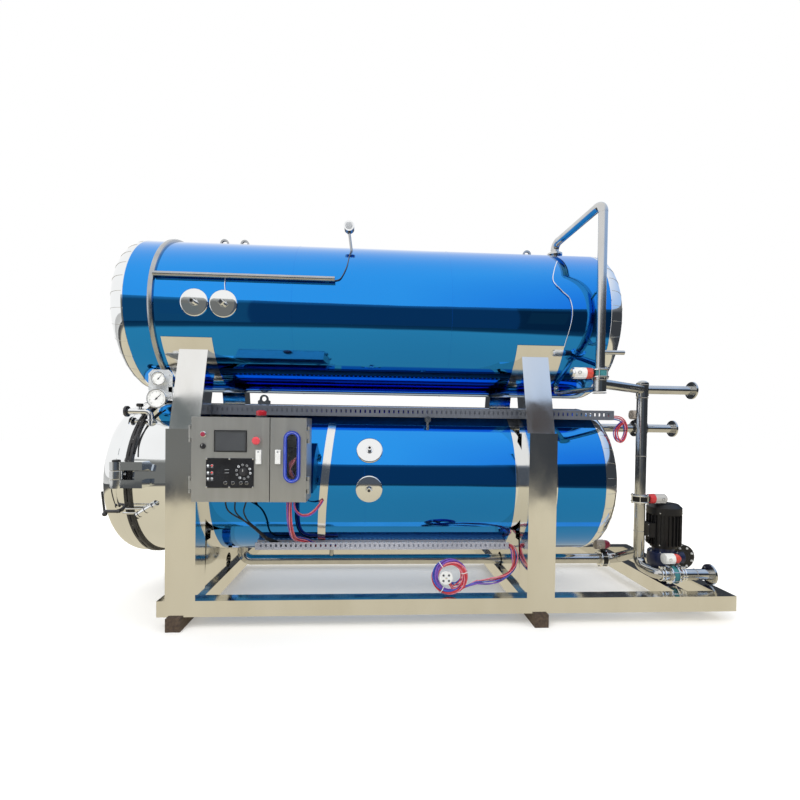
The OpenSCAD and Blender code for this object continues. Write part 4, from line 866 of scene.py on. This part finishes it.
# Weld beads, clamps and flange trim of the pipework
joints = Piece("pipe_joints", bevel=0.0006)
TEE_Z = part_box("header_pipe")[0][2] + 0.062
for at, z, big in ((riser, TEE_Z + 0.04, 0.05), (riser, TEE_Z - 0.06, 0.049), (down, TEE_Z + 0.058, 0.051),
        (down, TEE_Z - 0.059, 0.051), (down, 0.62, 0.0455), (down, 1.3, 0.0455)):
    joints.torus(at + UP * z, UP, big, 0.0028, WELD, 48, 8)
joints.torus(foot_line + V(0.2, 0, 0), LONG, 0.0455, 0.0028, WELD, 48, 8)
joints.spin(down + V(0, 0, TEE_Z + 0.0595), UP, [(0, 50.8), (10, 49), (22, 42.5), (31, 30), (36.5, 14),
    (37.5, 0)], PIPE, 48)
for dx in (-0.102, -0.075, 0.078, 0.1):
    at = foot_line + V(dx, 0, 0)
    joints.ring(at - V(0.008, 0, 0), at + V(0.008, 0, 0), 0.0445, 0.053, CHROME, 40, 0.002)
    joints.box((-0.01, -0.012, 0.05), (0.01, 0.012, 0.07), CHROME, None, at)
    joints.bolt(at + V(0, -0.012, 0.061), FRONT, 0.005, CHROME)
for dx in (-0.0505, 0.0335):
    at = steam + V(dx, 0, 0)
    joints.ring(at, at + V(0.017, 0, 0), 0.038, 0.0785, DARK, 48, 0.002)
    out = dx > 0
    joints.bolts(at + V(0.017 * out, 0, 0), (2 * out - 1, 0, 0), 0.06, 4, 0.007, CHROME, pi / 4)
joints.done(slot="pipe_steel")


# Operator panel on the left cabinet door
def on_door(right, below, proud=0.0):
    """A point on the cabinet front, in millimetres from its top left corner."""
    return V(CAB_X + right / MM, LEAF - proud / MM, CAB_TOP - below / MM)


def plate_box(p, x0, x1, z0, z1, y0, y1, mat):
    p.box(on_door(x0, z1, y1), on_door(x1, z0, y0), mat)


def handle(p, x, z):
    """A white swing handle in its recessed dish."""
    plate_box(p, x - 2, x + 37, z - 2, z + 100, 0, 6, GREY)
    plate_box(p, x - 1, x + 36, z - 1, z + 99, 5, 19, WHITE)
    plate_box(p, x + 6, x + 29, z + 26, z + 94, 18, 20.5, WHITE)
    p.spin(on_door(x + 17.5, z + 12, 18.5), FRONT, [(0, 7.5), (2, 7.5), (3, 6)], GREY, 24)
    plate_box(p, x + 16.6, x + 18.4, z + 8, z + 16, 19, 22, MARK_PALE)


panel = Piece("panel_controls", "cabinet_left", 0.0008)


def knob(x, z, proud, prof, mat, n):
    panel.spin(on_door(x, z, proud), FRONT, prof, mat, n)


for row in ((157, 383, 93, 246, 0, 6, PANEL), (162, 378, 98, 241, 5, 6.6, SCREEN_RIM),
        (171, 369, 110, 234, 6, 7, SCREEN), (103, 433, 290, 500, 0, 5, PANEL),
        (108, 428, 295, 495, 4.5, 5.4, PANEL)):
    plate_box(panel, *row)
for x in (108, 265, 428):
    for z in (295, 495):
        knob(x, z, 5, [(0, 6.2), (2, 6.2), (3, 4.5)], CHROME, 20)
for i, z in enumerate((343, 392, 434)):
    for x, mat in ((118, LED_WHITE), (145, LED_RED if i < 2 else GREY)):
        panel.ring(on_door(x, z, 5), on_door(x, z, 8), 0.0065, 0.0095, GREY, 24)
        knob(x, z, 5, [(0, 6.6), (4, 6.6), (5.5, 4), (6, 0)], mat, 24)
        plate_box(panel, x - 9, x + 9, z + 13, z + 16, 5, 5.9, MARK_PALE)
for i, a in enumerate(around(10, 0.2)):
    at = on_door(362 + 49 * cos(a), 385 + 49 * sin(a), 5)
    panel.spin(at, FRONT, [(0, 8), (3, 8), (4.5, 6.5)], GREY if i % 3 else LED_WHITE, 20)
    panel.spin(at + FRONT * 0.0045, FRONT, [(0, 4.8), (1, 4.8)], MARK, 16)
knob(362, 385, 5, [(0, 30), (4, 30), (5, 24), (16, 22), (18, 19)], MARK, 40)
plate_box(panel, 360.5, 363.5, 365, 384, 20, 23.6, WHITE)
for x in (238, 290, 345, 385):
    panel.ring(on_door(x, 464, 5), on_door(x, 464, 8), 0.008, 0.0125, CHROME, 28)
    knob(x, 464, 5, [(0, 8.2), (9, 8), (10.5, 6.5)], MARK, 24)
for z in (371, 393):
    plate_box(panel, 232, 262, z - 2, z + 2, 5, 6, MARK_PALE)
knob(82, 123, 0, [(0, 21), (4, 21), (5, 18), (10, 17.5)], CHROME, 36)
knob(82, 123, 9, [(0, 16.5), (6, 16), (9, 12), (9.5, 0)], CRIMSON, 36)
knob(80, 207, 0, [(0, 20), (4, 20), (5, 17), (12, 16.5)], MARK, 36)
plate_box(panel, 75, 85, 192, 222, 11, 21, MARK)
plate_box(panel, 79, 81, 193, 204, 20, 21.8, WHITE)
knob(453, 164, 0, [(0, 24), (3, 24), (4, 18), (26, 17.5)], GREY, 40)
knob(453, 164, 24, [(0, 24), (4, 28), (9, 27.5), (14, 22), (16.5, 12), (17, 0)], STOP, 48)
handle(panel, 450, 230)
panel.done("operator_panel")
spare = Piece("handle_right", "cabinet_right", 0.0008)
handle(spare, 584, 228)
spare.done(slot="cabinet_steel")


# Oval window on the right cabinet door
def oval(w, h, n=24):
    """Points of an upright oval with straight sides, each with its outward direction."""
    out = []
    for i in range(2 * n + 2):
        top = i <= n
        a = pi * (i if top else i - 1) / n
        out.append((w / 2 * cos(a), (h - w) / 2 * (1 if top else -1) + w / 2 * sin(a), cos(a), sin(a)))
    return out


def sweep_oval(p, centre, w, h, prof, mat):
    line = oval(w, h)
    verts = [centre + V(x + nx * o, -d, z + nz * o) for x, z, nx, nz in line for o, d in prof]
    p.add(verts, loft(len(line), len(prof), closed=True), mat)


middle = on_door(CAB_W * MM - 101, 277)
window = Piece("window_seal", "cabinet_right")
sweep_oval(window, middle, 0.094, 0.346, [(-0.012, 0.0), (-0.012, 0.01), (-0.009, 0.014), (-0.004, 0.015),
    (-0.001, 0.0115), (0.002, 0.0115), (0.005, 0.016), (0.009, 0.0165), (0.012, 0.012), (0.012, 0.0)],
    RUBBER_BLUE)
# Locking strip in the seal's groove, its pale colour a painted highlight along the rim.
bead = [(0.0026 * cos(a), 0.0026 * sin(a)) for a in around(8)]
sweep_oval(window, middle + FRONT * 0.0125, 0.095, 0.347, bead, STRIP_AND_HIGHLIGHT)
window.done("window_rim")
pane = Piece("window_pane", "cabinet_right")
edge = [(x, z) for x, z, nx, nz in oval(0.086, 0.338)]
pane.prism(edge, middle + FRONT * 0.006, LONG, UP, -0.004, PANE)
pane.done("window_rim", slot="rubber_blue")

# Inside of the cabinet: mounting plate, wiring ducts, rails with switchgear, air tubes
gear = Piece("cabinet_switchgear", bevel=0.0008)
back = CAB_BACK - 0.004


def in_cabinet(x0, x1, z0, z1, y0, y1, mat):
    """A block on the mounting plate, in millimetres from the cabinet's top left corner and its back."""
    low = (CAB_X + x0 / MM, back - y1 / MM, CAB_TOP - z1 / MM)
    gear.box(low, (CAB_X + x1 / MM, back - y0 / MM, CAB_TOP - z0 / MM), mat)


# Rows: first x, step, count, width, top, bottom, back, front, material, and every so many another
GEAR = (
    (30, 0, 1, 740, 30, 570, 0, 4, PLATE_ZINC),
    # The wiring ducts take the tray grey that is darkened as painted shade.
    (40, 680, 2, 40, 40, 560, 4, 45, TRAY_SHADED),
    (80, 0, 1, 640, 40, 80, 4, 45, TRAY_SHADED),
    (80, 0, 1, 640, 220, 260, 4, 45, TRAY_SHADED),
    (80, 0, 1, 640, 390, 430, 4, 45, TRAY_SHADED),
    (92, 21, 30, 6, 223, 257, 44, 45.8, MARK),
    (92, 21, 30, 6, 393, 427, 44, 45.8, MARK),
    (90, 0, 1, 620, 132.5, 167.5, 4, 12, CHROME),
    (90, 0, 1, 620, 307.5, 342.5, 4, 12, CHROME),
    (90, 0, 1, 620, 477.5, 512.5, 4, 12, CHROME),
    (100, 19, 12, 17.8, 108, 192, 11, 68, WHITE),
    (105, 19, 12, 8, 138, 158, 68, 76, MARK),
    (360, 50, 5, 45, 105, 195, 11, 85, GREY),
    (372, 50, 5, 21, 125, 170, 85, 92, MARK),
    (100, 0, 1, 190, 275, 375, 11, 80, MARK),
    (112, 17, 10, 8, 290, 297, 80, 81.5, LED_RED, 3, LED_WHITE),
    (310, 0, 1, 60, 270, 380, 11, 90, GREY),
    (400, 12.5, 24, 11.5, 295, 355, 11, 50, BEIGE, 4, GREY),
    (100, 12.5, 30, 11.5, 465, 525, 11, 55, GREY, 5, BEIGE),
    (520, 30, 6, 26, 450, 540, 11, 75, WHITE),
)
for x, step, count, wide, z0, z1, y0, y1, mat, *other in GEAR:
    for i in range(count):
        a, b = x + step * i, x + step * i + wide
        in_cabinet(a, b, z0, z1, y0, y1, other[1] if other and i % other[0] == 0 else mat)
for i in range(6):
    at = V(CAB_X + 0.533 + 0.03 * i, back - 0.075, CAB_TOP - 0.495)
    gear.cyl(at, at + FRONT * 0.015, 0.008, CHROME, 16)
INNER_MATS = (TUBE_PINK, TUBE_RED, TUBE_PINK, TUBE_PINK, TUBE_RED, TUBE_PINK, TUBE_BLUE, TUBE_PURPLE)
for j in range(8):
    s = 0.007 * j
    line = [(0.748 - s * 0.3, 0.2 + s, 0.12), (0.744 - s * 0.5, 0.25 + s, 0.18),
        (0.716 - s * 0.8, 0.3 + s * 0.4, 0.206 - s * 0.2), (0.69 - s * 0.5, 0.345, 0.212 - s * 0.4),
        (0.676 + s * 0.3, 0.39, 0.206 - s * 0.3), (0.686 + s * 0.6, 0.432, 0.18), (0.7 + s, 0.47, 0.13)]
    line = smooth([V(CAB_X + x, back - y, CAB_TOP - z) for x, z, y in line], 6)
    gear.tube(line, 0.006, INNER_MATS[j], 10)
gear.done(slot="panel_black")

# Beacon on the cabinet: dark base and a ribbed red lens
lo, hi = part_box("beacon")
at = V((lo[0] + hi[0]) / 2, (lo[1] + hi[1]) / 2, lo[2])
lamp = Piece("beacon_lamp", bevel=0.0006)
lamp.spin(at, UP, [(0, 40), (10, 40), (14, 36), (16, 30)], MARK, 48)
lamp.spin(at + UP * 0.014, UP, [(0, 34), (1, 35.5), (30, 35), (36, 31), (40, 20), (40.5, 0)], LENS, 48)
for a in around(24):
    rib = at + V(0.0348 * cos(a), 0.0348 * sin(a), 0.016)
    lamp.cyl(rib, rib + UP * 0.029, 0.0016, LENS, 8)
lamp.done("beacon")


# Floor, cards and light
MID_X, WALL_R, WALL_TOP, NEAR_Y = -1.0, 11.0, 5.6, -2.2


def stage_mesh(name, p, mat):
    me = bpy.data.meshes.new(name)
    me.from_pydata(p.v, [], p.f)
    me.materials.append(mat)
    ob = bpy.data.objects.new(name, me)
    scene.collection.objects.link(ob)
    return ob


def disc(name, at, r, sides=64):
    p = Piece(name)
    p.lathe(at, UP, [(0, 0), (0, r)], None, sides)
    p.f = p.f[:sides]
    return p


def light_path(nt, *names):
    rays = nt.nodes.new("ShaderNodeLightPath").outputs
    out = rays[names[0]]
    for n in names[1:]:
        out = shader(nt, "Math", {0: out, 1: rays[n]}, operation="MAXIMUM")
    return out


def times(nt, a, b):
    return shader(nt, "Math", {0: a, 1: b}, operation="MULTIPLY")


def reach(nt):
    """Distance from the object's own origin."""
    return shader(nt, "VectorMath", {0: shader(nt, "TexCoord", {}, "Object")}, "Value", operation="LENGTH")


def part_of(nt, axis):
    """Place along one axis of the object's box, from 0 to 1."""
    return shader(nt, "SeparateXYZ", {0: shader(nt, "TexCoord", {}, "Generated")}, axis)


scene.world = bpy.data.worlds.new("studio")
scene.world.use_nodes = True
nt = scene.world.node_tree
soft = nt.nodes["Background"]
feed(nt, soft, {0: (0.97, 0.985, 1.0, 1), 1: 0.72})
clear = shader(nt, "Background", {0: (1, 1, 1, 1), 1: 1.0})
pick = light_path(nt, "Is Camera Ray", "Is Glossy Ray", "Is Transmission Ray")
feed(nt, nt.nodes["World Output"], {0: shader(nt, "MixShader", {0: pick, 1: soft.outputs[0], 2: clear})})

floor_mat = bpy.data.materials.new("floor_pale")
floor_mat.use_nodes = True
nt = floor_mat.node_tree
pale = nt.nodes["Principled BSDF"]
feed(nt, pale, {"Base Color": (0.8, 0.79, 0.77, 1), "Roughness": 0.9, "Specular IOR Level": 0.0})
lift = times(nt, light_path(nt, "Is Camera Ray"), spread(nt, reach(nt), 0.22, 0.6, 2.6, 8.0))
glow = shader(nt, "Emission", {0: (1, 1, 1, 1), 1: lift})
feed(nt, nt.nodes["Material Output"], {0: shader(nt, "AddShader", {0: pale.outputs[0], 1: glow})})
stage_mesh("floor", disc("floor", (MID_X, 0, -0.001), 40.0), floor_mat)


def ramp(nt, along, stops):
    node = nt.nodes.new("ShaderNodeValToRGB")
    marks = node.color_ramp.elements
    while len(marks) < len(stops):
        marks.new(0.5)
    for e, (at, colour) in zip(marks, stops):
        e.position, e.color = at, (*colour, 1)
    feed(nt, node, {0: along})
    return node.outputs[0]


def card(name, mat_name, p, colour):
    """A glowing card that only reflections show. Its node tree makes its colour."""
    m = bpy.data.materials.new(mat_name)
    m.use_nodes = True
    nt = m.node_tree
    nt.nodes.remove(nt.nodes["Principled BSDF"])
    feed(nt, nt.nodes["Material Output"], {0: shader(nt, "Emission", {0: colour(nt)})})
    ob = stage_mesh(name, p, m)
    for ray in ("camera", "diffuse", "shadow", "transmission", "volume_scatter"):
        setattr(ob, "visible_" + ray, False)
    return ob


for name, first, last, tone in (("card_wall_left", -132, -111, (0.17, 0.175, 0.17)),
        ("card_wall_front", -111, -69, (0.08, 0.095, 0.12)),
        ("card_wall_right", -69, 132, (0.045, 0.05, 0.058))):
    wall = Piece(name)
    steps = (last - first) // 5
    turns = [rad(first + (last - first) * i / steps) for i in range(steps + 1)]
    row = [V(MID_X + WALL_R * cos(a), WALL_R * sin(a), 0.0) for a in turns]
    wall.add(row + [q + UP * WALL_TOP for q in row], loft(2, steps + 1, False), None)
    stops = ((0.0, tone), (0.85, tone), (1.0, [c * 2.2 + 0.1 for c in tone]))
    card(name, name + "_grey", wall, lambda nt: ramp(nt, part_of(nt, 2), stops))


def sky_tone(nt):
    """Deeper sky on the right, which fades to white at its top and its left edge."""
    across = spread(nt, part_of(nt, 0), 0, 1, 0.04, 0.55)
    below = spread(nt, part_of(nt, 2), 0, 1, 1.0, 0.0)
    return blend(nt, times(nt, across, below), (1, 1, 1), (0.36, 0.55, 0.88))


sky = Piece("card_sky")
rows = ((WALL_R, WALL_TOP), (10.8, 7.5), (10.2, 10.0), (9.2, 12.5), (7.8, 15.0), (6.0, 17.0))
turns = [rad(-90 + 170 * i / 40) for i in range(41)]
sky.add([V(MID_X + r * cos(a), r * sin(a), z) for r, z in rows for a in turns],
    loft(len(rows), len(turns), False), None)
card("card_sky", "card_sky_blue", sky, sky_tone)

# The ground card's beige darkens towards the machine's middle as a painted shadow of the machine, and turns
# dark beyond about eight metres.
EARTH_WITH_SHADOW = ((0.0, (0.62, 0.56, 0.42)), (0.35, (0.68, 0.615, 0.46)), (0.69, (0.72, 0.655, 0.49)),
    (0.79, (0.13, 0.125, 0.115)), (1.0, (0.075, 0.08, 0.085)))
ground = card("card_ground", "card_beige", disc("card_ground", (0, 0, 0), 10.9),
    lambda nt: ramp(nt, times(nt, reach(nt), 0.1), EARTH_WITH_SHADOW))
ground.location = (MID_X, -0.1, 0.003)

NEAR = (
    ("card_near_left", (0.15, 0.17, 0.175, 1),
        ((-3.664, 2.257), (-3.216, 2.257), (-3.265, 2.752), (-3.725, 2.752))),
    ("card_near_right", (0.075, 0.068, 0.068, 1),
        ((0.42, 2.257), (0.868, 2.257), (0.927, 2.767), (0.467, 2.767))),
)
for name, tone, corners in NEAR:
    near = Piece(name)
    near.add([(x, NEAR_Y, z) for x, z in corners], [(0, 1, 2, 3)], None)
    card(name, name + "_grey", near, lambda nt: tone)

LIGHTS = (
    ("key_soft", (-4.5, -6.5, 8.0), 6.0, 520.0, (-1.0, 0, 1.4)),
    ("fill_soft", (5.5, -5.0, 5.0), 5.0, 180.0, (-0.5, 0, 1.4)),
    ("top_soft", (-1.0, 2.0, 9.0), 7.0, 300.0, (-1.0, 0, 1.5)),
)
for name, at, size, power, aim in LIGHTS:
    la = bpy.data.lights.new(name, "AREA")
    la.shape, la.size, la.energy = "DISK", size, power
    ob = bpy.data.objects.new(name, la)
    ob.location = at
    ob.rotation_euler = (V(aim) - V(at)).to_track_quat("-Z", "Y").to_euler()
    ob.visible_glossy = False
    scene.collection.objects.link(ob)


# Materials and bevels on the solids that stay
KEEP = (
    (WOOD, 0.008, "timber_left timber_right"),
    (FRAME, 0.006, "front_rail rear_rail post_front_left post_front_right post_rear_left post_rear_right"),
    (FRAME, 0.004, "beams_left beams_right beam_end"),
    (FRAME, 0.002, "saddle_pads"),
    (FRAME, 0.0, "duct_strip"),
    (STEEL, 0.0, "chamber_shell door_hardware"),
    (DARK, 0.0, "door_lever"),
    (SATIN, 0.0, "conduit"),
    (SATIN, 0.002, "lifting_lugs"),
    # The upper tray between the vessels takes the grey darkened as painted shade.
    (TRAY_SHADED, 0.0, "upper_tray"),
    (TRAY_LOW, 0.0, "lower_tray"),
    (CABINET, 0.0015, "cabinet_box"),
    (CABINET, 0.002, "cabinet_door_left cabinet_door_right"),
    (PIPE, 0.0, "riser_pipe vent_pipe header_pipe down_pipe steam_pipe drain_pipe"),
    (MOTOR, 0.0, "pump_motor"),
)
for mat, width, names in KEEP:
    for n in names.split():
        ob = nodes[n]
        if not ob.material_slots:
            ob.data.materials.append(mat)
        for slot in ob.material_slots:
            slot.material = mat
        if width:
            bevel(ob, width, 3).harden_normals = True
